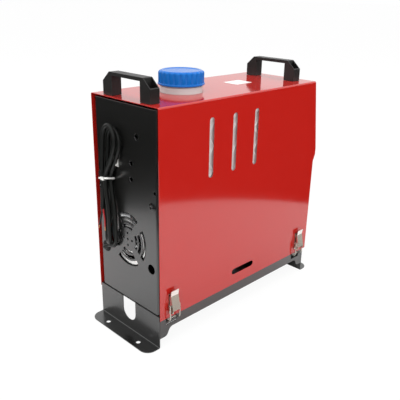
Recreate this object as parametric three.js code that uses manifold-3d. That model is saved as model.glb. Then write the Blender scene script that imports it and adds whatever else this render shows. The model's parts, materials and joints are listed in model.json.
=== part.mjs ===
/*
 * A portable diesel air heater in a folded sheet case, in millimetres, +Z up.
 *
 * X runs along the case, from the air intake (-X) to the warm air outlet (+X). Y runs across it, and the
 * origin lies on the floor under the middle of the base tray, with the feet standing on z = 0.
 */
import * as THREE from 'three';
import { mergeVertices } from 'three/addons/utils/BufferGeometryUtils.js';
import Module from 'manifold-3d';

const wasm = await Module();
wasm.setup();

/* ---------------------------------------------------------------- driving dimensions */

const seat = 0.3; // gap between two pieces that touch
const play = 0.4; // radial room round a screw, pin or wire

// base tray: one folded sheet with a floor, two end walls that stand on turned-out feet, and two skirts
const trayLength = 366;
const coverWidth = 150;
const traySideGap = 2; // from the tray's skirt to the cover's face
const trayWidth = coverWidth - 2 * traySideGap;
const traySheet = 1.5;
const trayHeight = 55; // top of the floor
const skirtBottom = 30;
const gussetBottom = 16.5;
const gussetLength = 30;
const footDepth = 25;
const footCorner = 16;
const footHoleRadius = 3.5;
const footHoleOut = 13.75; // from the end wall
const footHoleSpread = 38.5; // from the middle
const archWidth = 31; // cut-out in the front end wall for the exhaust hose
const archBottom = 18;

// cover: one folded sheet, a top and two sides
const coverFront = -trayLength / 2;
const coverLength = 370;
const coverBottom = 49;
const coverTop = 369;
const coverSheet = 1;
const coverBend = 2.5;
const coverLean = 14; // how far the rear edge leans in at the top
const coverBulge = 5; // how far the rear edge steps out above the lower part
const bulgeBottom = 224;
const bulgeLow = 236;
const bulgeHigh = 248;
const windowPitch = 50; // three upright windows that show the fuel level
const windowWidth = 9.5;
const windowLow = 253;
const windowHigh = 343;
const windowFirst = -82;
const breatherWidth = 54; // one lying slot low in each side
const breatherHeight = 10;
const breatherX = 2;
const breatherZ = 73;

// end plates and the shelf that ties them together
const plateSheet = 1.5;
const plateSideRoom = 5; // from the plate's side to the cover's face
const plateWidth = coverWidth - 2 * plateSideRoom;
const plateInset = 1.5; // behind the cover's front edge
const plateFront = coverFront + plateInset;
const plateBend = 3;
const plateFlange = 20;
const plateTopGap = 1.5; // under the cover's top
const seam = 1; // between an end plate and the tray's floor
const shelfTop = 236;
const shelfLip = 15;
const shelfScrewSpread = plateWidth / 2 - 11;
const shelfScrewDrop = 8; // below the shelf's top
const shelfScrewZ = shelfTop - shelfScrewDrop;
const screwHeadRadius = 4.4;
const screwHeadHeight = 2.6;
const screwRadius = 2.4;
const screwLength = 9;

// air intake guard in the front end plate
const axisZ = 159; // height of the fan and of the whole air path
const guardRings = [[35.5, 43], [26.5, 32], [18.5, 23.5]]; // inner and outer radius of each ring of slots
const guardArc = 62; // degrees of a slot
const guardPinRadius = 1.8;
const guardPinRing = 10;
const cableHoleRadius = 7.5;
const cableHoleSpread = plateWidth / 2 - 15.5;
const cableHoleZ = 128.5;

// filler neck, cap and tank
const neckX = -73;
const neckRadius = 31.5;
const neckTop = 395.5;
const neckWall = 2.5;
const capRadius = 34.3;
const capOverNeck = 5;
const capTop = neckTop + capOverNeck;
const capHeight = 21;
const capBottom = capTop - capHeight;
const capRoof = 3;
const capRibs = 24;
const capRibDepth = 1.3;
const capRimHeight = 2.6;
const linerHeight = 1.2;
const neckHolePlay = 1.2;
const tankEndRoom = 37; // from each end of the cover
const tankLength = coverLength - 2 * tankEndRoom;
const tankSideRoom = 3; // from each side of the cover
const tankWidth = coverWidth - 2 * tankSideRoom;
const tankTopRoom = 17; // under the cover's top
const tankTop = coverTop - tankTopRoom;
const tankWall = 2.5;
const tankCorner = 14;
const tankX = 0;

// handles
const handleHeight = 33;
const handleOuter = 52;
const handleInner = 31;
const handleDepth = 16.5;
const handleBar = 5;
const handleBevelAcross = 15;
const handleBevelDown = 13.5;
const handleFrontX = coverFront + 14.25;
const handleRearX = 146.75;
const pocketRim = 1.4;
const pocketFloor = 6; // left under the pocket
const handleScrewRadius = 2.6;

// latches, drawn for a side that faces -Y, with the cover's face at y = 0
const latchSpread = 158.4;
const latchPivotOut = 6;
const latchPivotZ = 62;
const latchHeel = 4;
const latchWidth = 15;
const latchSheet = 1;
const latchPinRadius = 1.4;
const latchTipZ = 96;
const latchKneeZ = 87;
const latchPlateTop = 90;
const latchPlateWidth = 16;
const latchOpen = 150; // degrees, as stated in the record
const wireRadius = 1.25;
const wireOut = 5.5; // where the wire is held in the lever
const wireRise = 9; // above the lever's pivot
const wireSpread = 9.5;
const hookZ = 44.4;
const hookIn = 3;
const notchWidth = 22.5;
const notchBottom = 36.5;

// power cable, its hank and the tie
const cableRadius = 3.25;
const cablePitch = 7.4;
const sidePitch = 0.4; // more than the pitch, for each loop inwards, where the sides lean
const hankLoops = 2;
const hankSteps = 24;
const hankSides = 8;
const hankTop = 331.5;
const hankBottom = 137;
const hankLowHalf = 15.5; // half width of the outer loop at its lower end
const hankHighHalf = 17.8; // and at its upper end
const hankArch = 22; // height of the arch at the upper end
const hankStagger = 6; // how much lower the rear loop ends at the top
const hankDrawn = 8.5; // how far each side is drawn in by the tie
const hankDrawnReach = 34;
const hankLowY = 36.8; // middle of the lower half, across the case
const hankLean = 16; // how far the upper end leans from there to the near side
const hankLeanLow = 245;
const hankLeanHigh = 308;
const hankTail = 6.5; // how far the free end turns in
const waistZ = 249;
const tieThick = 1.2;
const tieHeight = 2.6;
const tieFall = 0.22; // how far the band drops towards the plate and the far side, per millimetre
const tieTabDepth = 5.5; // how far its tab reaches down behind the strands
const hankWaistReach = 24; // height over which the band has to clear the strands
const tieHoleY = plateWidth / 2 - 6;
const tieHoleRadius = 2.3;

// heater core
const caseFront = -118;
const caseRear = 112;
const caseWidth = 118;
const caseLow = 100;
const caseWall = 2.5;
const caseCorner = 16;
const intakeRadius = 48;
const intakeFront = -176;
const fanRadius = 43;
const fanFront = -172;
const fanDepth = 15;
const fanBlades = 9;
const hubRadius = 17;
const shaftRadius = 3;
const motorRadius = 33;
const motorFront = -150;
const motorRear = -104;
const blowerRadius = 38;
const blowerFront = -98;
const blowerDepth = 11;
const burnerFront = -80;
const exchangerFront = -74;
const exchangerRear = 92;
const exchangerRadius = 33;
const finCount = 12;
const finReach = 46;
const finThick = 2.4;
const bracketTop = 97;
const outletRadius = 37.5;
const outletWall = 2;
const ventDepth = 17;
const flangeRadius = 49;

/* ---------------------------------------------------------------- shapes and solids */

/* A closed solid from a three.js geometry, with its faces pointing out. */
function solid(geometry) {
  const bare = geometry.index ? geometry.toNonIndexed() : geometry;
  bare.deleteAttribute('normal');
  bare.deleteAttribute('uv');
  const merged = mergeVertices(bare, 1e-4);
  const at = merged.attributes.position.array;
  const corners = merged.index.array;
  const faces = [];
  let volume = 0;
  for (let i = 0; i < corners.length; i += 3) {
    const [a, b, c] = [corners[i], corners[i + 1], corners[i + 2]];
    if (a === b || b === c || c === a) continue;
    faces.push([a, b, c]);
    const p = new THREE.Vector3().fromArray(at, 3 * a);
    const q = new THREE.Vector3().fromArray(at, 3 * b);
    const r = new THREE.Vector3().fromArray(at, 3 * c);
    volume += p.dot(q.cross(r));
  }
  const order = volume < 0 ? [0, 2, 1] : [0, 1, 2];
  const triVerts = Uint32Array.from(faces.flatMap((face) => order.map((k) => face[k])));
  return new wasm.Manifold(new wasm.Mesh({ numProp: 3, vertProperties: Float32Array.from(at), triVerts }));
}

/* A named mesh of a solid. */
function piece(name, body, look) {
  const raw = body.getMesh();
  const geometry = new THREE.BufferGeometry();
  geometry.setAttribute('position', new THREE.BufferAttribute(Float32Array.from(raw.vertProperties), 3));
  geometry.setIndex(new THREE.BufferAttribute(Uint32Array.from(raw.triVerts), 1));
  geometry.computeVertexNormals();
  const mesh = new THREE.Mesh(geometry, new THREE.MeshStandardMaterial(look));
  mesh.name = name;
  return mesh;
}

const towards = (x, y, z) => new THREE.Vector3(x, y, z);
const alongX = new THREE.Matrix4().makeBasis(towards(0, 1, 0), towards(0, 0, 1), towards(1, 0, 0));
const alongY = new THREE.Matrix4().makeBasis(towards(1, 0, 0), towards(0, 0, 1), towards(0, -1, 0));
const alongZ = new THREE.Matrix4();

/* A straight prism of an outline, laid by a basis matrix and moved. */
function prism(outline, depth, basis, x, y, z, curveSegments = 3) {
  const geometry = new THREE.ExtrudeGeometry(outline, { depth, bevelEnabled: false, curveSegments });
  geometry.applyMatrix4(basis);
  geometry.translate(x, y, z);
  return solid(geometry);
}

/* Outline in (Y, Z), from one X to another. */
const prismX = (outline, low, high, smooth) => prism(outline, high - low, alongX, low, 0, 0, smooth);
/* Outline in (X, Z), from one Y to another. */
const prismY = (outline, low, high, smooth) => prism(outline, high - low, alongY, 0, high, 0, smooth);
/* Outline in (X, Y), from one Z to another. */
const prismZ = (outline, low, high, smooth) => prism(outline, high - low, alongZ, 0, 0, low, smooth);

/* A box between two corners. */
function box(x0, y0, z0, x1, y1, z1) {
  const geometry = new THREE.BoxGeometry(x1 - x0, y1 - y0, z1 - z0);
  geometry.translate((x0 + x1) / 2, (y0 + y1) / 2, (z0 + z1) / 2);
  return solid(geometry);
}

const polygon = (points) => new THREE.Shape(points.map(([u, v]) => new THREE.Vector2(u, v)));

/* A disc outline, or a hole of one. */
function disc(u, v, radius) {
  const shape = new THREE.Shape();
  shape.absarc(u, v, radius, 0, 2 * Math.PI, false);
  return shape;
}

/* A rectangle with rounded corners, from one corner to the other. */
function rounded(u0, v0, u1, v1, r) {
  const shape = new THREE.Shape();
  shape.moveTo(u0 + r, v0);
  shape.lineTo(u1 - r, v0);
  shape.absarc(u1 - r, v0 + r, r, -Math.PI / 2, 0, false);
  shape.lineTo(u1, v1 - r);
  shape.absarc(u1 - r, v1 - r, r, 0, Math.PI / 2, false);
  shape.lineTo(u0 + r, v1);
  shape.absarc(u0 + r, v1 - r, r, Math.PI / 2, Math.PI, false);
  shape.lineTo(u0, v0 + r);
  shape.absarc(u0 + r, v0 + r, r, Math.PI, 1.5 * Math.PI, false);
  return shape;
}

/* A turned solid round a line along X or Z; its profile lists [radius, place along the line]. */
function turned(profile, axis, u, v, segments = 32) {
  const points = profile.map(([r, along]) => new THREE.Vector2(r, along));
  const geometry = new THREE.LatheGeometry(points, segments);
  if (axis === 'x') {
    const turn = new THREE.Matrix4().makeBasis(towards(0, 1, 0), towards(1, 0, 0), towards(0, 0, -1));
    geometry.applyMatrix4(turn);
    geometry.translate(0, u, v);
  } else {
    const turn = new THREE.Matrix4().makeBasis(towards(1, 0, 0), towards(0, 0, 1), towards(0, -1, 0));
    geometry.applyMatrix4(turn);
    geometry.translate(u, v, 0);
  }
  return solid(geometry);
}

/* A rod along X or Z. */
const rodX = (radius, low, high, y, z, n) =>
  turned([[0, low], [radius, low], [radius, high], [0, high]], 'x', y, z, n);
const rodZ = (radius, low, high, x, y, n) =>
  turned([[0, low], [radius, low], [radius, high], [0, high]], 'z', x, y, n);
/* A pipe along X or Z. */
const ring = (inner, outer, low, high) =>
  [[inner, low], [outer, low], [outer, high], [inner, high], [inner, low]];
const pipeX = (inner, outer, low, high, y, z, n) => turned(ring(inner, outer, low, high), 'x', y, z, n);
const pipeZ = (inner, outer, low, high, x, y, n) => turned(ring(inner, outer, low, high), 'z', x, y, n);

/* A round tube along a smooth curve through points. */
function tube(points, radius, sides, steps) {
  const path = new THREE.CatmullRomCurve3(points.map(([x, y, z]) =>
    towards(x, y, z)), false, 'centripetal');
  const section = new THREE.Shape(
    Array.from({ length: sides }, (_, k) => {
      const turn = (2 * Math.PI * k) / sides;
      return new THREE.Vector2(radius * Math.cos(turn), radius * Math.sin(turn));
    }),
  );
  return solid(new THREE.ExtrudeGeometry(section, { steps, extrudePath: path, bevelEnabled: false }));
}

const degrees = Math.PI / 180;
const mirroredPair = (make) => [make(-1), make(1)];

/* ---------------------------------------------------------------- looks */

const blackSteel = { color: '#1e1e1d', roughness: 0.35, metalness: 0.0 };
const redSteel = { color: '#c02018', roughness: 0.15, metalness: 0.0 };
const blackPlastic = { color: '#201e1e', roughness: 0.5, metalness: 0.0 };
const bluePlastic = { color: '#1766c4', roughness: 0.35, metalness: 0.0 };
const milkPlastic = { color: '#e8e9e6', roughness: 0.4, metalness: 0.0 };
const whitePlastic = { color: '#f4f4f2', roughness: 0.45, metalness: 0.0 };
const stainless = { color: '#b4b0a6', roughness: 0.25, metalness: 1.0 };
const zincSteel = { color: '#9c9d9e', roughness: 0.35, metalness: 1.0 };
const castAluminium = { color: '#a9abad', roughness: 0.45, metalness: 1.0 };
const brightAluminium = { color: '#cfd0d1', roughness: 0.2, metalness: 1.0 };
const blackRubber = { color: '#232323', roughness: 0.7, metalness: 0.0 };
const redRubber = { color: '#b5161a', roughness: 0.5, metalness: 0.0 };
const darkGlass = { color: '#12201c', roughness: 0.08, metalness: 0.0 };
const greyPlastic = { color: '#4a4c4e', roughness: 0.5, metalness: 0.0 };

/* ---------------------------------------------------------------- case */

const trayEnd = trayLength / 2;
const traySide = trayWidth / 2;
const coverSide = coverWidth / 2;
const coverRear = coverFront + coverLength;

/* One lower edge of a skirt, from end wall to end wall, with a gusset that sweeps down at each end. */
function skirtOutline() {
  const bend = gussetLength / 2;
  const middle = (skirtBottom + gussetBottom) / 2;
  const shape = new THREE.Shape();
  shape.moveTo(-trayEnd, trayHeight);
  shape.lineTo(-trayEnd, gussetBottom);
  shape.lineTo(-trayEnd + bend * 0.8, gussetBottom);
  shape.quadraticCurveTo(-trayEnd + bend, gussetBottom, -trayEnd + bend * 1.2, middle);
  shape.quadraticCurveTo(-trayEnd + bend * 1.5, skirtBottom, -trayEnd + gussetLength, skirtBottom);
  shape.lineTo(trayEnd - gussetLength, skirtBottom);
  shape.quadraticCurveTo(trayEnd - bend * 1.5, skirtBottom, trayEnd - bend * 1.2, middle);
  shape.quadraticCurveTo(trayEnd - bend, gussetBottom, trayEnd - bend * 0.8, gussetBottom);
  shape.lineTo(trayEnd, gussetBottom);
  shape.lineTo(trayEnd, trayHeight);
  return shape;
}

/* The foot that an end wall is turned out into, drawn for the +X end. */
function footSheet() {
  const shape = new THREE.Shape();
  const tip = trayEnd + footDepth;
  shape.moveTo(trayEnd - traySheet, -traySide);
  shape.lineTo(tip - footCorner, -traySide);
  shape.absarc(tip - footCorner, -traySide + footCorner, footCorner, -Math.PI / 2, 0, false);
  shape.lineTo(tip, traySide - footCorner);
  shape.absarc(tip - footCorner, traySide - footCorner, footCorner, 0, Math.PI / 2, false);
  shape.lineTo(trayEnd - traySheet, traySide);
  for (const side of [-1, 1]) {
    shape.holes.push(disc(trayEnd + footHoleOut, side * footHoleSpread, footHoleRadius));
  }
  return prismZ(shape, 0, traySheet, 5);
}

function baseTray() {
  const floor = box(-trayEnd, -traySide, trayHeight - traySheet, trayEnd, traySide, trayHeight);
  const skirts = mirroredPair((side) => {
    const low = side < 0 ? -traySide : traySide - traySheet;
    return prismY(skirtOutline(), low, low + traySheet, 3);
  });
  const wall = box(trayEnd - traySheet, -traySide, 0, trayEnd, traySide, trayHeight);
  const end = wall.add(footSheet());
  const arch = new THREE.Shape();
  const reach = archWidth / 2;
  arch.moveTo(-reach, trayHeight - traySheet);
  arch.lineTo(-reach, archBottom + reach);
  arch.absarc(0, archBottom + reach, reach, Math.PI, 2 * Math.PI, false);
  arch.lineTo(reach, trayHeight - traySheet);
  const notches = [];
  for (const x of [-latchSpread, latchSpread]) {
    const half = notchWidth / 2;
    const slot = box(x - half, -traySide - 1, notchBottom, x + half, traySide + 1, trayHeight - 9);
    notches.push(slot);
  }
  let tray = floor.add(skirts[0]).add(skirts[1]).add(end).add(end.rotate([0, 0, 180]));
  tray = tray.subtract(prismX(arch, -trayEnd - 1, -trayEnd + traySheet + 1, 7));
  for (const slot of notches) tray = tray.subtract(slot);
  for (const [x, y, radius] of floorPorts) {
    tray = tray.subtract(rodZ(radius, skirtBottom, trayHeight + 1, x, y, 20));
  }
  return tray;
}

/* The cover seen from the side; the rear edge leans back down to a step. */
const coverProfile = (inset) =>
  polygon([
    [coverFront, coverBottom],
    [coverRear - inset, coverBottom],
    [coverRear - inset, bulgeBottom],
    [coverRear + coverBulge - inset, bulgeLow],
    [coverRear + coverBulge - inset, bulgeHigh],
    [coverRear - coverLean - inset, coverTop],
    [coverFront, coverTop],
  ]);

function coverShell() {
  const bent = (grow, low) => {
    const side = coverSide - grow;
    const r = coverBend - grow;
    const shape = new THREE.Shape();
    shape.moveTo(-side, low);
    shape.lineTo(side, low);
    shape.lineTo(side, coverTop - grow - r);
    shape.absarc(side - r, coverTop - grow - r, r, 0, Math.PI / 2, false);
    shape.lineTo(-side + r, coverTop - grow);
    shape.absarc(-side + r, coverTop - grow - r, r, Math.PI / 2, Math.PI, false);
    return shape;
  };
  const far = coverRear + coverBulge + 1;
  const outer = prismX(bent(0, coverBottom), coverFront - 1, far, 2);
  const inner = prismX(bent(coverSheet, coverBottom - 1), coverFront - 2, far + 1, 2);
  let shell = outer.subtract(inner);
  shell = shell.intersect(prismY(coverProfile(0), -coverSide - 1, coverSide + 1));
  for (let k = 0; k < 3; k += 1) {
    const x = windowFirst + k * windowPitch;
    const half = windowWidth / 2;
    const slot = rounded(x - half, windowLow, x + half, windowHigh, half - 0.01);
    shell = shell.subtract(prismY(slot, -coverSide - 1, coverSide + 1, 2));
  }
  const across = breatherWidth / 2;
  const tall = breatherHeight / 2;
  const slot = rounded(breatherX - across, breatherZ - tall, breatherX + across, breatherZ + tall, tall - 0.01);
  shell = shell.subtract(prismY(slot, -coverSide - 1, coverSide + 1, 2));
  shell = shell.subtract(rodZ(neckRadius + neckHolePlay, coverTop - 5, coverTop + 1, neckX, 0, 40));
  for (const [x, y] of handleScrews) {
    shell = shell.subtract(rodZ(handleScrewRadius + play, coverTop - 5, coverTop + 1, x, y, 12));
  }
  return shell;
}

const handleScrews = [handleFrontX, handleRearX].flatMap((x) =>
  [-1, 1].map((side) => [x, side * ((handleOuter + handleInner) / 2)]),
);

/* A shallow pan: a face towards -X with its two sides and its top turned in, all bends rounded. */
function pan(face, low, high, depth) {
  const outline = (inset) => {
    const side = plateWidth / 2 - inset;
    const r = plateBend - inset;
    const shape = new THREE.Shape();
    shape.moveTo(face + depth + inset, -side);
    shape.lineTo(face + depth + inset, side);
    shape.lineTo(face + inset + r, side);
    shape.absarc(face + inset + r, side - r, r, Math.PI / 2, Math.PI, false);
    shape.lineTo(face + inset, -side + r);
    shape.absarc(face + inset + r, -side + r, r, Math.PI, 1.5 * Math.PI, false);
    return shape;
  };
  const outer = prismZ(outline(0), low, high, 2);
  const inner = prismZ(outline(plateSheet), low - 1, high - plateSheet, 2);
  return outer.subtract(inner);
}

/* A ring of slots in the guard: four of them, between spokes that run cornerwise. */
function guardSlots(inner, outer, low, high) {
  const slots = [];
  const half = (guardArc / 2) * degrees * (inner > 30 ? 1.12 : 1);
  for (let k = 0; k < 4; k += 1) {
    const middle = (k * Math.PI) / 2;
    const shape = new THREE.Shape();
    shape.absarc(0, axisZ, outer, middle - half, middle + half, false);
    shape.absarc(0, axisZ, inner, middle + half, middle - half, true);
    slots.push(prismX(shape, low, high, 4));
  }
  return slots;
}

const plateTop = coverTop - coverSheet - plateTopGap;
const plateLow = trayHeight + seam;

function frontEndPlate() {
  const face = plateFront;
  let plate = pan(face, plateLow, plateTop, plateFlange);
  const cuts = guardRings.flatMap(([inner, outer]) => guardSlots(inner, outer, face - 1, face + 4));
  const hole = (radius, y, z, n = 8) => cuts.push(rodX(radius, face - 1, face + 4, y, z, n));
  hole(guardPinRadius, 0, axisZ);
  for (let k = 0; k < 4; k += 1) {
    const turn = (k * Math.PI) / 2;
    hole(guardPinRadius, guardPinRing * Math.cos(turn), axisZ + guardPinRing * Math.sin(turn));
  }
  for (const side of [-1, 1]) {
    hole(cableHoleRadius, side * cableHoleSpread, cableHoleZ, 16);
    hole(screwRadius + play, side * shelfScrewSpread, shelfScrewZ);
    hole(tieHoleRadius, side * tieHoleY, waistZ);
  }
  hole(3.6, -26, 322, 4);
  hole(2.5, -13, 281);
  hole(2.5, -12.5, 257);
  for (const [x, y] of handleScrews) {
    cuts.push(rodZ(handleScrewRadius + play, plateTop - 5, plateTop + 5, x, y, 12));
  }
  for (const cut of cuts) plate = plate.subtract(cut);
  return plate;
}

const rearFace = trayEnd; // outside of the lower part
const rearUpper = (z) =>
  coverRear + coverBulge - 6 - ((z - bulgeHigh) * (coverLean + coverBulge)) / (coverTop - bulgeHigh);

/* The rear end plate follows the cover's rear edge: upright, a step out, then a leaning panel. */
function rearEndPlate() {
  const bulge = coverRear + coverBulge - 6;
  const line = [
    [rearFace, plateLow],
    [rearFace, bulgeBottom + 2],
    [bulge, bulgeLow + 1],
    [bulge, bulgeHigh],
    [rearUpper(plateTop), plateTop],
  ];
  const inner = line.map(([x, z]) => [x - plateSheet, z]).reverse();
  const sheet = prismY(polygon([...line, ...inner]), -plateWidth / 2, plateWidth / 2);
  const rib = line.map(([x, z]) => [x - plateFlange, z]).reverse();
  const flanges = mirroredPair((side) => {
    const low = side < 0 ? -plateWidth / 2 : plateWidth / 2 - plateSheet;
    return prismY(polygon([...line, ...rib]), low, low + plateSheet);
  });
  const roofRear = rearUpper(plateTop);
  const roof = box(roofRear - 30, -plateWidth / 2, plateTop - plateSheet, roofRear - 0.5, plateWidth / 2, plateTop);
  let plate = sheet.add(flanges[0]).add(flanges[1]).add(roof);
  plate = plate.subtract(rodX(outletRadius + seat, rearFace - 5, rearFace + 1, 0, axisZ, 40));
  plate = plate.subtract(panelFrame().cut);
  for (const side of [-1, 1]) {
    const across = side * shelfScrewSpread;
    plate = plate.subtract(rodX(screwRadius + play, rearFace - 5, rearFace + 1, across, 215, 12));
  }
  for (const [x, y] of handleScrews) {
    plate = plate.subtract(rodZ(handleScrewRadius + play, plateTop - 5, plateTop + 5, x, y, 12));
  }
  return plate;
}

/* The shelf under the tank, with a lip that takes the front plate's screws. */
function tankShelf() {
  const front = plateFront + plateSheet + seat;
  const rear = rearFace - plateSheet - seat;
  const half = plateWidth / 2 - plateBend;
  let shelf = box(front, -half, shelfTop - plateSheet, rear, half, shelfTop);
  shelf = shelf.add(box(front, -half, shelfTop - shelfLip, front + plateSheet, half, shelfTop));
  shelf = shelf.add(box(rear - plateSheet, -half, shelfTop - shelfLip - 14, rear, half, shelfTop));
  for (const side of [-1, 1]) {
    const y = side * shelfScrewSpread;
    shelf = shelf.subtract(rodX(screwRadius + play, front - 1, front + plateSheet + 1, y, shelfScrewZ, 12));
    shelf = shelf.subtract(rodX(screwRadius + play, rear - plateSheet - 1, rear + 1, y, 215, 12));
  }
  shelf = shelf.subtract(rodZ(6, shelfTop - 3, shelfTop + 1, downX, hoseY, 12));
  return shelf;
}

/* A pan head screw along X, its head on the outside of a face. */
function panScrew(face, out, y, z) {
  const at = (along) => face + out * along;
  const profile = [
    [0, at(-screwLength)],
    [screwRadius, at(-screwLength)],
    [screwRadius, at(seat)],
    [screwHeadRadius, at(seat)],
    [screwHeadRadius, at(seat + screwHeadHeight * 0.45)],
    [screwHeadRadius * 0.62, at(seat + screwHeadHeight)],
    [0, at(seat + screwHeadHeight)],
  ];
  return turned(profile, 'x', y, z, 12);
}

/* ---------------------------------------------------------------- handles */

/* A moulded bridge handle across the case; each bevelled end has a pocket for its screw. */
function handle() {
  const top = handleHeight;
  const outline = polygon([
    [-handleOuter, 0],
    [-handleInner, 0],
    [-handleInner, top - handleBar],
    [handleInner, top - handleBar],
    [handleInner, 0],
    [handleOuter, 0],
    [handleOuter, top - handleBevelDown],
    [handleOuter - handleBevelAcross, top],
    [-handleOuter + handleBevelAcross, top],
    [-handleOuter, top - handleBevelDown],
  ]);
  let grip = prismX(outline, -handleDepth / 2, handleDepth / 2);
  for (const side of [-1, 1]) {
    const well = polygon([
      [side * (handleOuter - pocketRim), pocketFloor],
      [side * (handleOuter - pocketRim), top + 1],
      [side * (handleInner + 2.5), top + 1],
      [side * (handleInner + 2.5), pocketFloor],
    ]);
    const below = polygon([
      [side * (handleOuter - pocketRim), 0],
      [side * (handleOuter - pocketRim), top - handleBevelDown + 1.5],
      [side * (handleOuter - handleBevelAcross + 1.5), top - 1.5],
      [side * (handleInner + 2.5), top - handleBar],
      [side * (handleInner + 2.5), 0],
    ]);
    const mouth = polygon([
      [side * (handleOuter - 2), top - handleBevelDown - 1],
      [side * (handleOuter + 3), top - handleBevelDown + 3],
      [side * (handleOuter - handleBevelAcross + 3), top + 5],
      [side * (handleOuter - handleBevelAcross + 1), top - 1],
      [side * (handleInner + 8), pocketFloor],
      [side * (handleOuter - 2), pocketFloor],
    ]);
    const depth = handleDepth / 2 - pocketRim;
    grip = grip.subtract(prismX(well, -depth, depth).intersect(prismX(mouth, -depth, depth)));
    grip = grip.subtract(prismX(below, -depth, depth).intersect(prismX(mouth, -depth, depth)));
    const across = (side * (handleOuter + handleInner)) / 2;
    grip = grip.subtract(rodZ(handleScrewRadius + play, -1, pocketFloor + 1, 0, across, 12));
  }
  return grip;
}

/* ---------------------------------------------------------------- latches */

/* The lever's outer line from its heel to its tip: [distance from the cover, height]. */
const leverLine = [
  [latchPivotOut + latchHeel, latchPivotZ + 2],
  [5, latchKneeZ],
  [2.4, latchTipZ],
];

/* Riveted plate with two ears and the pin that the lever turns on. */
function latchBase() {
  const half = latchPlateWidth / 2;
  let base = box(-half, -seat - latchSheet, latchPivotZ - 5, half, -seat, latchPlateTop);
  for (const z of [latchPivotZ + 13, latchPlateTop - 5]) {
    const rivet = rodZ(2.2, 0, 0.8, 0, 0, 12).rotate([90, 0, 0]);
    base = base.add(rivet.translate([0, -seat - latchSheet + 0.01, z]));
  }
  const ear = polygon([
    [-seat - 0.1, latchPivotZ - 2.3],
    [-seat - 0.1, latchPivotZ + 6],
    [-latchPivotOut - 0.5, latchPivotZ + 2.8],
    [-latchPivotOut - 2.6, latchPivotZ],
    [-latchPivotOut - 0.5, latchPivotZ - 2.3],
  ]);
  const inside = latchWidth / 2 - latchSheet - seat;
  for (const side of [-1, 1]) {
    const low = side < 0 ? -inside : inside - latchSheet;
    base = base.add(prismX(ear, low, low + latchSheet));
  }
  const reach = latchWidth / 2 + 0.1;
  return base.add(rodX(latchPinRadius, -reach, reach, -latchPivotOut, latchPivotZ, 12));
}

/* Channel section lever with a turned tip, round heels and the two holes for the wire. */
function latchLever() {
  const half = latchWidth / 2;
  const [heel, knee, tip] = leverLine;
  const inset = ([out, z]) => [-(out - latchSheet), z - 0.2];
  const skin = polygon([
    [-heel[0], heel[1]],
    [-knee[0], knee[1]],
    [-tip[0], tip[1]],
    inset(tip),
    inset(knee),
    inset([heel[0], heel[1]]),
  ]);
  let lever = prismX(skin, -half, half);
  const cheek = new THREE.Shape();
  cheek.moveTo(-heel[0], heel[1]);
  cheek.lineTo(-knee[0], knee[1]);
  cheek.lineTo(-2.4, knee[1]);
  cheek.lineTo(-latchPivotOut + latchHeel - 0.6, latchPivotZ + wireRise + 3);
  cheek.lineTo(-latchPivotOut + latchHeel, latchPivotZ);
  cheek.absarc(-latchPivotOut, latchPivotZ, latchHeel, 0, -Math.PI, true);
  for (const side of [-1, 1]) {
    const low = side < 0 ? -half : half - latchSheet;
    lever = lever.add(prismX(cheek, low, low + latchSheet, 4));
  }
  lever = lever.subtract(rodX(latchPinRadius + play, -half - 1, half + 1, -latchPivotOut, latchPivotZ, 12));
  return lever.subtract(rodX(wireRadius + play, -half - 1, half + 1, -wireOut, latchPivotZ + wireRise, 12));
}

/* Bent wire: two ends held in the lever, two legs, and a crossbar under the upper edge of the notch. */
function latchBail() {
  const top = latchPivotZ + wireRise;
  const inner = latchWidth / 2 - latchSheet - 0.6;
  const half = [
    [inner, -wireOut, top],
    [inner + 1.6, -wireOut, top],
    [wireSpread - 0.7, -wireOut, top - 0.15],
    [wireSpread, -wireOut, top - 1.2],
    [wireSpread, -wireOut - 0.3, top - 8],
    [wireSpread, -wireOut - 0.5, hookZ + 7],
    [wireSpread, -wireOut + 0.6, hookZ + 3.2],
    [wireSpread, -wireOut + 3.4, hookZ + 0.4],
    [wireSpread, hookIn - 1.2, hookZ],
    [wireSpread - 0.8, hookIn - 0.2, hookZ],
    [wireSpread - 2.4, hookIn, hookZ],
  ];
  const other = half.map(([x, y, z]) => [-x, y, z]).reverse();
  return sweptTube([...half, ...other].map(([x, y, z]) => towards(x, y, z)), wireRadius, 6);
}

function latch(tag, x, side) {
  const group = new THREE.Group();
  group.position.set(x, side * coverSide, 0);
  group.rotation.z = side < 0 ? 0 : Math.PI;
  group.add(piece(`latch_base_${tag}`, latchBase(), stainless));
  group.add(piece(`latch_lever_${tag}`, latchLever(), stainless));
  group.add(piece(`latch_bail_${tag}`, latchBail(), stainless));
  return group;
}

/* ---------------------------------------------------------------- tank and filler cap */

function fuelTank() {
  const low = shelfTop + seat;
  const half = tankLength / 2;
  const side = tankWidth / 2;
  const skin = (inset, bottom, top) =>
    prismZ(
      rounded(tankX - half + inset, -side + inset, tankX + half - inset, side - inset, tankCorner - inset),
      bottom,
      top,
      2,
    );
  let tank = skin(0, low, tankTop);
  tank = tank.add(rodZ(neckRadius, tankTop - 1, neckTop, neckX, 0, 32));
  tank = tank.subtract(skin(tankWall, low + tankWall, tankTop - tankWall));
  tank = tank.subtract(rodZ(neckRadius - neckWall, tankTop - 5, neckTop + 1, neckX, 0, 32));
  const outletX = tankX + half;
  tank = tank.add(rodX(3.2, outletX - 1, outletX + 9, hoseY, low + 9, 12));
  return tank.subtract(rodX(1.6, outletX - 5, outletX + 10, hoseY, low + 9, 8));
}

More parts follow.
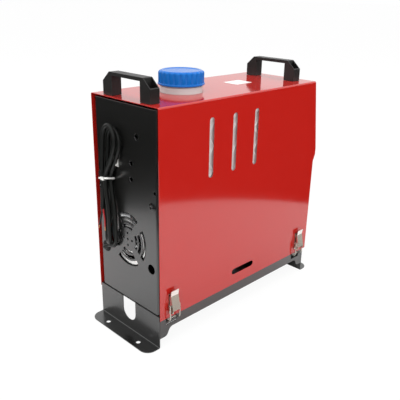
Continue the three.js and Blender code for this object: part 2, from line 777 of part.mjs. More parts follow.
/* The cap's outer outline: shallow flutes between broad ribs. */
function capOutline() {
  const points = [];
  const steps = 4 * capRibs;
  for (let k = 0; k < steps; k += 1) {
    const turn = (2 * Math.PI * k) / steps;
    const flute = k % 4 === 0 ? capRibDepth : k % 4 === 2 ? 0 : capRibDepth * 0.3;
    points.push([neckX + (capRadius - flute) * Math.cos(turn), (capRadius - flute) * Math.sin(turn)]);
  }
  return polygon(points);
}

function fillerCap() {
  const grip = prismZ(capOutline(), capBottom + capRimHeight, capTop - 2);
  const rim = rodZ(capRadius, capBottom, capBottom + capRimHeight, neckX, 0, 48);
  const crown = turned(
    [
      [0, capTop - 3],
      [capRadius - capRibDepth, capTop - 3],
      [capRadius - capRibDepth, capTop - 1.6],
      [capRadius - 4, capTop],
      [0, capTop],
    ],
    'z',
    neckX,
    0,
    48,
  );
  const bore = rodZ(neckRadius + 2 * play, capBottom - 1, capTop - capRoof, neckX, 0, 32);
  return grip.add(rim).add(crown).subtract(bore);
}

const capLiner = () => rodZ(neckRadius - seat, neckTop + seat, neckTop + seat + linerHeight, neckX, 0, 32);

/* ---------------------------------------------------------------- power cable */

/* Where the loops' middle lies across the case at a height. */
const hankMiddle = (z) => hankLowY - hankLean * THREE.MathUtils.smoothstep(z, hankLeanLow, hankLeanHigh);

/*
 * A point of the hank after a number of loops. Each loop is a long ring with round ends, run through in a
 * lower quarter, a side, an upper half, a side and a lower quarter. It spirals in on the rear layer, climbs
 * round the lower end and spirals out on the front layer. Both loops are drawn in at the waist.
 */
function hankPoint(loops) {
  const part = (loops % 1) * hankSteps;
  const inward = Math.min(loops, hankLoops - loops);
  const low = hankLowHalf - cablePitch * inward;
  const high = hankHighHalf - cablePitch * inward;
  const lowMiddle = hankBottom + hankLowHalf;
  const climb = THREE.MathUtils.smoothstep(loops, hankLoops / 2 - 0.15, hankLoops / 2 + 0.15);
  const highMiddle = hankTop - hankArch - hankStagger * (1 - climb);
  const quarter = hankSteps / 8; // steps in the lower quarter, and in half of the upper end
  const side = 2 * quarter;
  const rising = part < hankSteps / 2;
  const fromLow = rising ? part : hankSteps - part;
  let across = 0;
  let z = 0;
  if (fromLow < quarter) {
    const turn = ((fromLow / quarter) * Math.PI) / 2;
    across = low * Math.sin(turn);
    z = lowMiddle - low * Math.cos(turn);
  } else if (fromLow < quarter + side) {
    const along = (fromLow - quarter) / side;
    across = low + (high - low) * THREE.MathUtils.smoothstep(along, 0, 1);
    z = lowMiddle + (highMiddle - lowMiddle) * along;
  } else {
    const turn = (((fromLow - quarter - side) / quarter) * Math.PI) / 2;
    across = high * Math.cos(turn);
    z = highMiddle + hankArch * Math.sin(turn);
  }
  const drawn = hankDrawn * Math.exp(-(((z - waistZ) / hankDrawnReach) ** 2)) + sidePitch * inward;
  across -= Math.min(across / 8, 1) * drawn;
  across -= hankTail * THREE.MathUtils.smoothstep(loops, hankLoops - 0.34, hankLoops - 0.22);
  return towards(hankRear - climb * cablePitch, hankMiddle(z) - (rising ? across : -across), z);
}

const tieBack = plateFront - seat;
const hankRear = tieBack - tieThick - seat - cableRadius;
const hankBegin = 1 / hankSteps;
const hankEnd = hankLoops - 0.21;

/* The hank's centre line, with a straight run of one diameter at each end. */
function hankLine() {
  const points = [];
  const run = hankEnd - hankBegin;
  const count = Math.round(run * hankSteps);
  for (let k = 0; k <= count; k += 1) points.push(hankPoint(hankBegin + (k * run) / count));
  const before = hankPoint(0).sub(points[0]).setLength(2 * cableRadius);
  const start = points[0].clone().add(before);
  const last = points[points.length - 1];
  return [start, ...points, last.clone().add(towards(0, 0, -2 * cableRadius))];
}

/* A tube of straight rings along a line of points, each ring turned to halve the bend there. */
function sweptTube(line, radius, sides) {
  const places = [];
  const faces = [];
  const start = line[1].clone().sub(line[0]).normalize();
  let across = Math.abs(start.x) > 0.7 ? towards(0, 0, 1) : towards(1, 0, 0);
  line.forEach((point, k) => {
    const ahead = (line[k + 1] ?? point).clone().sub(line[k - 1] ?? point).normalize();
    across = across.clone().sub(ahead.clone().multiplyScalar(across.dot(ahead))).normalize();
    const up = new THREE.Vector3().crossVectors(ahead, across);
    for (let s = 0; s < sides; s += 1) {
      const turn = (2 * Math.PI * s) / sides;
      const spot = point.clone();
      spot.addScaledVector(across, radius * Math.cos(turn));
      spot.addScaledVector(up, radius * Math.sin(turn));
      places.push(...spot.toArray());
    }
  });
  for (let k = 0; k + 1 < line.length; k += 1) {
    for (let s = 0; s < sides; s += 1) {
      const a = k * sides + s;
      const b = k * sides + ((s + 1) % sides);
      faces.push(a, b, a + sides, b, b + sides, a + sides);
    }
  }
  const last = (line.length - 1) * sides;
  for (let s = 1; s + 1 < sides; s += 1) {
    faces.push(0, s + 1, s);
    faces.push(last, last + s, last + s + 1);
  }
  const geometry = new THREE.BufferGeometry();
  geometry.setAttribute('position', new THREE.BufferAttribute(Float32Array.from(places), 3));
  geometry.setIndex(faces);
  return solid(geometry);
}

/* Least clear distance between stretches of the hank that aren't neighbours along it. */
function selfGap(line) {
  const dense = [];
  for (let k = 0; k + 1 < line.length; k += 1) {
    for (let s = 0; s < 4; s += 1) dense.push(line[k].clone().lerp(line[k + 1], s / 4));
  }
  let least = Infinity;
  const apart = hankSteps * 2;
  for (let i = 0; i < dense.length; i += 1) {
    for (let j = i + apart; j < dense.length; j += 1) {
      least = Math.min(least, dense[i].distanceTo(dense[j]));
    }
  }
  return least - 2 * cableRadius;
}

/* The tie round the waist: a band with rounded ends, its head, and a barbed stud in the plate's small hole. */
function cableTie() {
  const middle = hankMiddle(waistZ);
  const strands = hankLine().filter((p) => Math.abs(p.z - waistZ) < hankWaistReach);
  const low = Math.min(...strands.map((p) => p.y)) - cableRadius - seat;
  const high = Math.max(...strands.map((p) => p.y)) + cableRadius + seat;
  const near = tieBack - tieThick;
  const far = hankRear - cablePitch - cableRadius - seat;
  const r = cableRadius;
  const half = tieHeight / 2;
  const outer = rounded(far - tieThick, low - tieThick, near + tieThick, high + tieThick, r + tieThick);
  let band = prismZ(outer, waistZ - half, waistZ + half, 2);
  band = band.subtract(prismZ(rounded(far, low, near, high, r), waistZ - half - 1, waistZ + half + 1, 2));
  const headY = middle - 4.5;
  const headFront = far - tieThick - 3;
  band = band.add(box(headFront, headY - 3.6, waistZ - 2.2, far - tieThick + 0.2, headY + 3.6, waistZ + 2.2));
  const level = waistZ + (tieFall * (far + near + low + high)) / 2;
  band = band.warp((spot) => {
    spot[2] += level - waistZ - tieFall * (spot[0] + spot[1]);
  });
  band = band.add(box(near, high - 4, waistZ - tieTabDepth, tieBack, tieHoleY + 2, waistZ + half));
  const stud = turned(
    [[0, tieBack - 0.5], [1.8, tieBack - 0.5], [1.8, tieBack + 2.4], [2.3, tieBack + 2.8], [0, tieBack + 6]],
    'x',
    tieHoleY,
    waistZ,
    8,
  );
  return band.add(stud);
}

/* The gland in the far hole: a rubber collar with a groove for the sheet. */
function cableGrommet() {
  const face = plateFront;
  const y = cableHoleSpread;
  const profile = [
    [cableRadius + seat, face - 1.4],
    [cableHoleRadius + 1.8, face - 1.4],
    [cableHoleRadius + 1.8, face - seat],
    [cableHoleRadius - seat, face - seat],
    [cableHoleRadius - seat, face + plateSheet + seat],
    [cableHoleRadius + 1.8, face + plateSheet + seat],
    [cableHoleRadius + 1.2, face + plateSheet + 2],
    [cableRadius + seat, face + plateSheet + 2],
    [cableRadius + seat, face - 1.4],
  ];
  return turned(profile, 'x', y, cableHoleZ, 14);
}

/* The cable from inside the case through the gland to the start of the hank. */
function cableLead() {
  const line = hankLine();
  const away = line[0].clone().sub(line[1]).normalize();
  const joint = line[0].clone().addScaledVector(away, seat);
  const before = joint.clone().addScaledVector(away, 2 * cableRadius);
  const y = cableHoleSpread;
  const points = [
    [plateFront + 12, y, cableHoleZ],
    [plateFront + 5, y, cableHoleZ],
    [plateFront - 1.4, y, cableHoleZ],
    [plateFront - 4.4, y - 1, cableHoleZ + 0.2],
    [plateFront - 6.6, y - 3.2, cableHoleZ + 1.1],
    [plateFront - 6.8, y - 6, cableHoleZ + 2.8],
    before.toArray(),
    joint.toArray(),
  ];
  return tube(points, cableRadius, 8, 18);
}

/* One bare-ended conductor below the cut end of the hank, and its copper tip in one length. */
function conductor(side, points) {
  const line = hankLine();
  const end = line[line.length - 1];
  const first = [end.x, end.y + side, end.z - seat];
  const below = [end.x, end.y + side, end.z - seat - 3];
  return tube([first, below, ...points], 1.3, 6, 9);
}

/* ---------------------------------------------------------------- heater core */

const exhaustX = 20;
const airX = -24;
const portRadius = 11;
const portY = 0;
const floorPorts = [[exhaustX, portY, portRadius + 1], [airX, portY, portRadius + 1]];
const hoseY = -30;
const pumpX = -18;
const pumpY = -34;
const pumpLong = 52;
const pumpNib = 12;
const pumpZ = 74;
const filterX = 80;
const filterZ = trayHeight + seat + 9.2;
const downX = 168.5; // where the tank's hose comes down

const caseTop = 2 * axisZ - caseLow;
const caseHalf = caseWidth / 2;

/* Half of the moulded casing round the heat exchanger, with a round mouth at the intake. */
function heaterCase(upper) {
  const outline = (inset) =>
    rounded(-caseHalf + inset, caseLow + inset, caseHalf - inset, caseTop - inset, caseCorner - inset);
  let shell = prismX(outline(0), caseFront, caseRear, 2);
  shell = shell.subtract(prismX(outline(caseWall), caseFront + caseWall, caseRear + 1, 2));
  shell = shell.add(pipeX(intakeRadius - caseWall, intakeRadius, intakeFront, caseFront + 1, 0, axisZ, 24));
  const mouth = rodX(intakeRadius - caseWall, intakeFront - 1, caseFront + caseWall + 1, 0, axisZ, 24);
  shell = shell.subtract(mouth);
  const split = upper ? axisZ + seat / 2 : axisZ - seat / 2;
  const kept = upper
    ? box(intakeFront - 2, -90, split, caseRear + 2, 90, caseTop + 2)
    : box(intakeFront - 2, -90, caseLow - 2, caseRear + 2, 90, split);
  shell = shell.intersect(kept);
  if (!upper) {
    for (const x of [exhaustX, airX]) {
      shell = shell.subtract(rodZ(portRadius + seat, caseLow - 1, caseLow + 5, x, portY, 20));
    }
    shell = shell.subtract(rodZ(3.8, caseLow - 1, caseLow + 5, inletX, hoseY, 12));
  } else {
    shell = shell.subtract(rodZ(6, caseTop - 5, caseTop + 1, plugX, 0, 16));
  }
  return shell;
}

const inletX = -77;
const plugX = -62;

/* Motor can on a round plate that closes the blower chamber; four arms seat it in the casing. */
function motorHousing() {
  const bore = shaftRadius + 0.1;
  const plate = motorRadius + 12;
  const profile = [
    [bore, motorFront],
    [motorRadius - 3, motorFront],
    [motorRadius, motorFront + 3],
    [motorRadius, motorRear],
    [plate, motorRear],
    [plate, motorRear + 3],
    [bore, motorRear + 3],
    [bore, motorFront],
  ];
  let housing = turned(profile, 'x', 0, axisZ, 20);
  const reach = caseWidth / 2 - caseWall - seat;
  for (let k = 0; k < 4; k += 1) {
    const arm = box(motorRear, -6, plate - 3, motorRear + 3, 6, reach).rotate([90 * k, 0, 0]);
    housing = housing.add(arm.translate([0, 0, axisZ]));
  }
  return housing;
}

/* Axial fan with a bore for the shaft. */
function fanWheel() {
  let wheel = rodX(hubRadius, fanFront, fanFront + fanDepth, 0, axisZ, 24);
  for (let k = 0; k < fanBlades; k += 1) {
    const blade = new THREE.BoxGeometry(1.8, 17, fanRadius - hubRadius + 2);
    blade.translate(0, 0, (fanRadius + hubRadius) / 2 - 1);
    blade.rotateZ(52 * degrees);
    const tilted = solid(blade);
    const turn = (360 * k) / fanBlades;
    wheel = wheel.add(tilted.rotate([turn, 0, 0]).translate([fanFront + fanDepth / 2, 0, axisZ]));
  }
  const limit = rodX(fanRadius, fanFront - 5, fanFront + fanDepth + 5, 0, axisZ, 36);
  const bore = rodX(shaftRadius + 0.1, fanFront - 6, fanFront + fanDepth + 6, 0, axisZ, 16);
  return wheel.intersect(limit).subtract(bore);
}

const motorShaft = () => rodX(shaftRadius - 0.2, fanFront - 2, blowerFront + blowerDepth + 1, 0, axisZ, 12);

/* Small radial wheel that feeds the burner. */
function blowerWheel() {
  let wheel = rodX(blowerRadius, blowerFront, blowerFront + 2, 0, axisZ, 24);
  wheel = wheel.add(rodX(8, blowerFront, blowerFront + blowerDepth, 0, axisZ, 16));
  for (let k = 0; k < 10; k += 1) {
    const vane = box(blowerFront + 1, -0.8, axisZ + 14, blowerFront + blowerDepth, 0.8, axisZ + blowerRadius - 0.3);
    wheel = wheel.add(vane.translate([0, 0, -axisZ]).rotate([36 * k, 0, 0]).translate([0, 0, axisZ]));
  }
  const bore = rodX(shaftRadius + 0.1, blowerFront - 1, blowerFront + blowerDepth + 1, 0, axisZ, 16);
  return wheel.subtract(bore);
}

/* Finned casting with a closed rear end, a flange for the burner and two ports below. */
function heatExchanger() {
  let casting = rodX(exchangerRadius, exchangerFront, exchangerRear, 0, axisZ, 24);
  for (let k = 0; k < finCount; k += 1) {
    const fin = box(exchangerFront + 8, -finThick / 2, exchangerRadius - 2, exchangerRear - 6, finThick / 2, finReach);
    casting = casting.add(fin.rotate([(360 * k) / finCount, 0, 0]).translate([0, 0, axisZ]));
  }
  casting = casting.add(rodX(44, exchangerFront, exchangerFront + 4, 0, axisZ, 24));
  casting = casting.subtract(rodX(exchangerRadius - 4, exchangerFront - 1, exchangerRear - 5, 0, axisZ, 24));
  for (const x of [exhaustX, airX]) {
    const portTop = axisZ - exchangerRadius + 3;
    casting = casting.add(rodZ(portRadius + 2, caseLow + caseWall + 1, portTop, x, portY, 20));
    casting = casting.subtract(rodZ(portRadius - 2, caseLow, axisZ - exchangerRadius + 5, x, portY, 16));
  }
  return casting.subtract(rodZ(5.4, axisZ + exchangerRadius - 6, axisZ + 60, plugX, 0, 14));
}

/* Burner tube with its flange, between the blower chamber and the heat exchanger. */
function burner() {
  const tubeRadius = exchangerRadius - 9;
  const profile = [
    [tubeRadius - 1.5, burnerFront],
    [44, burnerFront],
    [44, exchangerFront - seat],
    [tubeRadius, exchangerFront - seat],
    [tubeRadius, exchangerFront + 70],
    [tubeRadius - 1.5, exchangerFront + 70],
    [tubeRadius - 1.5, burnerFront],
  ];
  const plugBore = rodZ(5.4, axisZ + 10, axisZ + tubeRadius + 4, plugX, 0, 14);
  return turned(profile, 'x', 0, axisZ, 20).subtract(plugBore);
}

const glowPlug = () =>
  turned([
      [0, axisZ + 18],
      [2, axisZ + 18],
      [2, axisZ + 30],
      [5, axisZ + 32],
      [5, caseTop + 1],
      [2.5, caseTop + 1],
      [2.5, caseTop + 7],
      [0, caseTop + 7],
    ],
    'z', plugX, 0, 14);

/* A pipe stub below a port, out through the floor. */
function portPipe(x) {
  const low = skirtBottom + 3;
  return pipeZ(portRadius - 1.5, portRadius, low, caseLow + caseWall + 1 - seat, x, portY, 20);
}

/* Raised bracket that carries the core, with two feet on the tray's floor. */
function heaterBracket() {
  const low = trayHeight + seat;
  const front = -104;
  const rear = 104;
  const half = 52;
  const sheet = 2;
  let bracket = box(front, -half, bracketTop - sheet, rear, half, bracketTop);
  for (const side of [-1, 1]) {
    const inner = side < 0 ? -half : half - sheet;
    bracket = bracket.add(box(front, inner, low, rear, inner + sheet, bracketTop));
    const foot = side < 0 ? -half - 12 : half - sheet;
    bracket = bracket.add(box(front, foot, low, rear, foot + 12 + sheet, low + sheet));
  }
  for (const x of [exhaustX, airX]) {
    bracket = bracket.subtract(rodZ(portRadius + 1, bracketTop - 4, bracketTop + 1, x, portY, 20));
  }
  return bracket.subtract(rodZ(4.5, bracketTop - 4, bracketTop + 1, inletX, hoseY, 12));
}

/* Gasket between the bracket and the casing. */
function coreGasket() {
  let gasket = box(caseFront + 20, -40, bracketTop + seat, caseRear - 10, 40, caseLow - seat);
  for (const x of [exhaustX, airX]) {
    gasket = gasket.subtract(rodZ(portRadius + 1, bracketTop, caseLow, x, portY, 16));
  }
  return gasket.subtract(rodZ(4.5, bracketTop, caseLow, inletX, hoseY, 12));
}

/* Hood that gathers the warm air into the round outlet. */
function outletHood() {
  const front = caseRear + seat;
  const rear = rearFace + 2;
  const neck = rear - 18;
  const inner = caseHalf - 1;
  const wall = outletWall;
  const profile = [
    [inner - wall, front],
    [inner, front],
    [outletRadius - seat, neck - 12],
    [outletRadius - seat, rear],
    [outletRadius - seat - wall, rear],
    [outletRadius - seat - wall, neck - 12],
    [inner - wall, front + 1],
    [inner - wall, front],
  ];
  return turned(profile, 'x', 0, axisZ, 24);
}

/* Round flange on the rear plate, with a spigot that the hood pushes into and a track for the vent. */
function outletCollar() {
  const face = rearFace + seat;
  const bore = outletRadius + seat;
  const profile = [
    [bore, face],
    [flangeRadius, face],
    [flangeRadius, face + 3],
    [bore + 2.5, face + 3],
    [bore + 2.5, face + 6],
    [bore, face + 6],
    [bore, face],
  ];
  return turned(profile, 'x', 0, axisZ, 24);
}

/* Round vent that turns on the collar; its louvres throw the air to one side. */
function outletVent() {
  const front = rearFace + seat + 3 + seat;
  const track = outletRadius + seat + 2.5 + 0.7;
  const rim = track + 4;
  const rear = front + ventDepth;
  const profile = [
    [track, front],
    [rim, front],
    [rim, front + 4],
    [rim - 2, rear],
    [track - 4, rear],
    [track - 4, front + 7],
    [track, front + 5],
    [track, front],
  ];
  let vent = turned(profile, 'x', 0, axisZ, 24);
  const reach = track - 2;
  for (let k = -2; k <= 2; k += 1) {
    const y = k * 14;
    const tall = Math.sqrt(reach * reach - y * y);
    const slat = new THREE.BoxGeometry(13, 1.6, 2 * tall);
    slat.rotateZ(35 * degrees);
    slat.translate(rear - 6, y, axisZ);
    vent = vent.add(solid(slat));
  }
  return vent.intersect(rodX(rim + 1, front, rear, 0, axisZ, 36));
}

/* Controller board in its flat box, over the casing. */
const controlUnit = () => box(-20, -26, caseTop + seat, 64, 26, shelfTop - plateSheet - seat);

/* ---------------------------------------------------------------- fuel path */

function fuelPump() {
  const half = pumpLong / 2;
  const pump = rodX(12, pumpX - half, pumpX + half, pumpY, pumpZ, 20);
  return pump.add(rodX(3, pumpX - half - pumpNib, pumpX + half + pumpNib, pumpY, pumpZ, 12));
}

/* Rubber saddle that holds the pump off the floor. */
function pumpSaddle() {
  const low = trayHeight + seat;
  const wide = 14.5;
  const saddle = box(pumpX - 8, pumpY - wide, low, pumpX + 8, pumpY + wide, pumpZ + 15);
  return saddle.subtract(rodX(12 + seat, pumpX - 20, pumpX + 20, pumpY, pumpZ, 20));
}

function fuelFilter() {
  const profile = [
    [0, filterX - 34], [2.6, filterX - 34], [2.6, filterX - 22], [9, filterX - 20], [9, filterX + 14],
    [2.6, filterX + 16], [2.6, filterX + 28], [0, filterX + 28],
  ];
  return turned(profile, 'x', pumpY, filterZ, 16);
}

const hose = (points, steps = 18) => tube(points, 3, 8, steps);

function hoseFromTank() {
  const top = tankX + tankLength / 2 + 9;
  const z = shelfTop + seat + 9;
  const end = filterX + 28;
  return hose([
    [top + seat, hoseY, z], [top + 5, hoseY, z], [downX - 1, hoseY, z - 4], [downX, hoseY, z - 14],
    [downX, hoseY - 14, 200], [downX, hoseY - 19, 160], [downX, hoseY - 16, 116], [downX - 8, hoseY - 10, 84],
    [end + 24, pumpY, filterZ + 1], [end + 10, pumpY, filterZ], [end + seat, pumpY, filterZ],
  ]);
}

function hoseToPump() {
  const start = filterX - 34 - seat;
  const end = pumpX + pumpLong / 2 + pumpNib + seat;
  return hose([
    [start, pumpY, filterZ], [start - 6, pumpY, filterZ], [end + 6, pumpY, pumpZ], [end, pumpY, pumpZ],
  ], 10);
}

/* Up through the bracket and the casing to the burner's flange. */
function hoseToBurner() {
  const start = pumpX - pumpLong / 2 - pumpNib - seat;
  return hose([
    [start, pumpY, pumpZ], [start - 4, pumpY, pumpZ], [inletX + 5, pumpY + 2, pumpZ + 4],
    [inletX, hoseY, pumpZ + 14], [inletX, hoseY, bracketTop + 8], [inletX, hoseY, 123.6],
  ], 14);
}

/* ---------------------------------------------------------------- controls on the leaning rear panel */

const panelLean = Math.atan((coverLean + coverBulge) / (coverTop - bulgeHigh));
const panelZ = 306;
const panelWide = 92;
const panelTall = 50;
const buttonRadius = 4.5;
const buttonTravel = 1;
const buttonSpread = 18;

/* Pieces of the controller are drawn flat, +X out of the panel, and laid on it by this group. */
function onPanel() {
  const group = new THREE.Group();
  group.position.set(rearUpper(panelZ), 0, panelZ);
  group.rotation.y = -panelLean;
  return group;
}

function panelFrame() {
  const half = panelWide / 2;
  const tall = panelTall / 2;
  let body = prismX(rounded(-half - 4, -tall - 4, half + 4, tall + 4, 6), seat, seat + 3, 2);
  body = body.add(prismX(rounded(-half, -tall, half, tall, 4), -11, seat + 1, 2));
  const hollow = box(-9, -half + 2, -tall + 2, 5, half - 2, tall - 2);
  body = body.subtract(hollow.intersect(box(-9, -half, -tall, -2, half, tall)));
  body = body.subtract(prismX(rounded(-36, 0, 36, 20, 2), -5, 6, 2));
  for (let k = 0; k < 4; k += 1) {
    body = body.subtract(rodX(buttonRadius + seat, -5, 6, (k - 1.5) * buttonSpread, -12, 12));
  }
  const cut = prismX(rounded(-half - 0.5, -tall - 0.5, half + 0.5, tall + 0.5, 4), -6, 4, 2)
    .rotate([0, (-panelLean / degrees), 0])
    .translate([rearUpper(panelZ), 0, panelZ]);
  return { body, cut };
}

/* ---------------------------------------------------------------- assembly */

const heater = new THREE.Group();
heater.name = 'diesel_air_heater';
const add = (name, body, look, parent = heater) => parent.add(piece(name, body, look));

add('base_tray', baseTray(), blackSteel);
add('cover', coverShell(), redSteel);
add('front_end_plate', frontEndPlate(), blackSteel);
add('rear_end_plate', rearEndPlate(), blackSteel);
add('tank_shelf', tankShelf(), zincSteel);
add('screw_front_left', panScrew(plateFront, -1, shelfScrewSpread, shelfScrewZ), blackSteel);
add('screw_front_right', panScrew(plateFront, -1, -shelfScrewSpread, shelfScrewZ), blackSteel);

for (const [name, x] of [['handle_front', handleFrontX], ['handle_rear', handleRearX]]) {
  const grip = piece(name, handle(), blackPlastic);
  grip.position.set(x, 0, coverTop + seat);
  heater.add(grip);
}

heater.add(latch('front_near', -latchSpread, -1));
heater.add(latch('rear_near', latchSpread, -1));
heater.add(latch('front_far', -latchSpread, 1));
heater.add(latch('rear_far', latchSpread, 1));

add('fuel_tank', fuelTank(), milkPlastic);
add('cap_liner', capLiner(), blackRubber);
add('filler_cap', fillerCap(), bluePlastic);
add('info_label', box(37, -14, coverTop + seat, 76, 17, coverTop + seat + 0.2), whitePlastic);

const cableLine = hankLine();
console.log(`least gap of the cable hank to itself: ${selfGap(cableLine).toFixed(2)} mm`);
add('cable_grommet', cableGrommet(), blackRubber);
add('cable_lead', cableLead(), blackRubber);
add('cable_hank', sweptTube(cableLine, cableRadius, hankSides), blackRubber);
add('cable_tie', cableTie(), whitePlastic);
const cutEnd = cableLine[cableLine.length - 1];
const redWay = [
  [cutEnd.x + 1, cutEnd.y - 2.4, cutEnd.z - 20],
  [cutEnd.x + 1.5, cutEnd.y - 1.6, cutEnd.z - 36],
];
const blackWay = [
  [cutEnd.x, cutEnd.y + 6.5, cutEnd.z - 18],
  [cutEnd.x + 1, cutEnd.y + 13.5, cutEnd.z - 36],
];
add('lead_red', conductor(-1.6, redWay), redRubber);
add('lead_black', conductor(1.6, blackWay), blackRubber);

add('heater_bracket', heaterBracket(), zincSteel);
add('core_gasket', coreGasket(), blackRubber);
add('heater_case_lower', heaterCase(false), greyPlastic);
add('heater_case_upper', heaterCase(true), greyPlastic);
add('motor_housing', motorHousing(), zincSteel);
add('motor_shaft', motorShaft(), stainless);
add('fan_wheel', fanWheel(), brightAluminium);
add('blower_wheel', blowerWheel(), castAluminium);
add('burner', burner(), stainless);
add('glow_plug', glowPlug(), stainless);
add('heat_exchanger', heatExchanger(), castAluminium);
add('exhaust_pipe', portPipe(exhaustX), stainless);
add('air_pipe', portPipe(airX), greyPlastic);
add('outlet_hood', outletHood(), greyPlastic);
add('outlet_collar', outletCollar(), blackPlastic);
add('outlet_vent', outletVent(), blackPlastic);
add('control_unit', controlUnit(), greyPlastic);

add('fuel_pump', fuelPump(), zincSteel);
add('pump_saddle', pumpSaddle(), blackRubber);
add('fuel_filter', fuelFilter(), milkPlastic);
add('hose_tank', hoseFromTank(), blackRubber);
add('hose_pump', hoseToPump(), blackRubber);
add('hose_burner', hoseToBurner(), blackRubber);

const controls = onPanel();
add('control_panel', panelFrame().body, blackPlastic, controls);
add('display_lens', prismX(rounded(-35.7, 0.3, 35.7, 19.7, 2), 0.5, 2.6, 3), darkGlass, controls);
for (let k = 0; k < 4; k += 1) {
  const y = (k - 1.5) * buttonSpread;
  add(`button_${k + 1}`, rodX(buttonRadius, -1.5, 5, y, -12, 12), greyPlastic, controls);
}
heater.add(controls);

heater.updateMatrixWorld(true);
export default heater;
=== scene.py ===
"""A portable diesel air heater in a folded sheet case: red cover, black tray and end plates, filler cap,
two carrying handles, four toggle latches and a hank of power cable. Metres, +X towards the warm air outlet,
+Y across the case towards the cable, +Z up, origin on the floor under the middle of the base tray. Sizes in
the sections are in millimetres, as on a drawing."""

import json
import math

import bmesh
import bpy
import numpy as np
from mathutils import Matrix
from mathutils.geometry import delaunay_2d_cdt

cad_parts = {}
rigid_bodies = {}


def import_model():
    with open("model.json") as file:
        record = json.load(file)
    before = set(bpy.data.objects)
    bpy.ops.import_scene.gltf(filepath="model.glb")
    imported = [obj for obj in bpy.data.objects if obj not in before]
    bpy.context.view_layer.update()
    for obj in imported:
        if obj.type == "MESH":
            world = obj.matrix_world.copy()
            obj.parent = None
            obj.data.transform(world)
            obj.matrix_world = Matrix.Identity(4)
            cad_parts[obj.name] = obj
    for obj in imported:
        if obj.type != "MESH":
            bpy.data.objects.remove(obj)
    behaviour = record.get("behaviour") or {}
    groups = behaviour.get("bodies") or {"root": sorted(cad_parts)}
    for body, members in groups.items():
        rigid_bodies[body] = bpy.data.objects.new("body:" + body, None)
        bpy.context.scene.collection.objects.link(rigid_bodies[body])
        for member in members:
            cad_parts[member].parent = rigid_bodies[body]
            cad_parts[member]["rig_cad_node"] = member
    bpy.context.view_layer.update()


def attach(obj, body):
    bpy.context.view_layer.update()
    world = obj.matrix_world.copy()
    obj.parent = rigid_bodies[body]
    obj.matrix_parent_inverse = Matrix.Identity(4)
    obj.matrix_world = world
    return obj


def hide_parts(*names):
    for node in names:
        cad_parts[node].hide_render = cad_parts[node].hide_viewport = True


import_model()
nodes = {o["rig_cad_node"]: o for o in bpy.data.objects if "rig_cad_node" in o}
MM = 0.001

# ---- Camera. It stands where the photographer stood, in front of the case's corner and a little above it,
# and is level to within a degree or so. Angles are in degrees, the place in metres, the lens in millimetres.
CAMERA_AZIMUTH = -45.32
CAMERA_ELEVATION = 21.213
CAMERA_ROLL = 1.162
CAMERA_PLACE = (-0.6277, -0.5928, 0.5092)
CAMERA_LENS = 48.44


def camera_axes(azimuth, elevation, roll):
    """Columns right, up and back: back is the direction from the object to the camera, right lies level,
    and both right and up are then turned about back by the roll."""
    a, e, r = np.radians([azimuth, elevation, roll])
    back = np.array([np.sin(a) * np.cos(e), -np.cos(a) * np.cos(e), np.sin(e)])
    level = np.array([np.cos(a), np.sin(a), 0.0])
    upright = np.cross(back, level)
    right = level * np.cos(r) + upright * np.sin(r)
    up = upright * np.cos(r) - level * np.sin(r)
    return np.stack([right, up, back], 1)


def add_object(name, data):
    """A new object at the origin, linked to the scene."""
    made = bpy.data.objects.new(name, data)
    bpy.context.scene.collection.objects.link(made)
    return made


camera_data = bpy.data.cameras.new("camera")
camera_data.lens = CAMERA_LENS
camera_data.sensor_width = 36.0
camera_data.sensor_fit = "HORIZONTAL"
camera_data.clip_end = 80.0
camera = add_object("camera", camera_data)
stand = np.eye(4)
stand[:3, :3] = camera_axes(CAMERA_AZIMUTH, CAMERA_ELEVATION, CAMERA_ROLL)
stand[:3, 3] = CAMERA_PLACE
camera.matrix_world = Matrix(stand.tolist())
bpy.context.scene.camera = camera
bpy.context.scene.view_settings.view_transform = "Standard"


# ---- Power cable. Two-core flex in a soft black PVC sheath, folded into a long hank of two loops that hangs
# flat against the front plate. It comes out of a rubber grommet low in the plate.
def linear(colour):
    """Linear RGBA from an sRGB hex colour."""
    c = np.array([int(colour[k : k + 2], 16) for k in (1, 3, 5)]) / 255
    c = np.where(c <= 0.04045, c / 12.92, ((c + 0.055) / 1.055) ** 2.4)
    return (*c.tolist(), 1.0)


def add_node(tree, kind, inputs, **settings):
    """A shader node with its settings and inputs; an input is a value or another node's output socket."""
    made = tree.nodes.new(kind)
    for key, value in settings.items():
        setattr(made, key, value)
    for key, value in inputs.items():
        if isinstance(value, bpy.types.NodeSocket):
            tree.links.new(value, made.inputs[key])
        else:
            made.inputs[key].default_value = value
    return made


def blank_tree(data):
    """The emptied node tree of a material or a world."""
    data.use_nodes = True
    data.node_tree.nodes.clear()
    return data.node_tree


PATCH = 25.0  # size of the patches in which a finish drifts


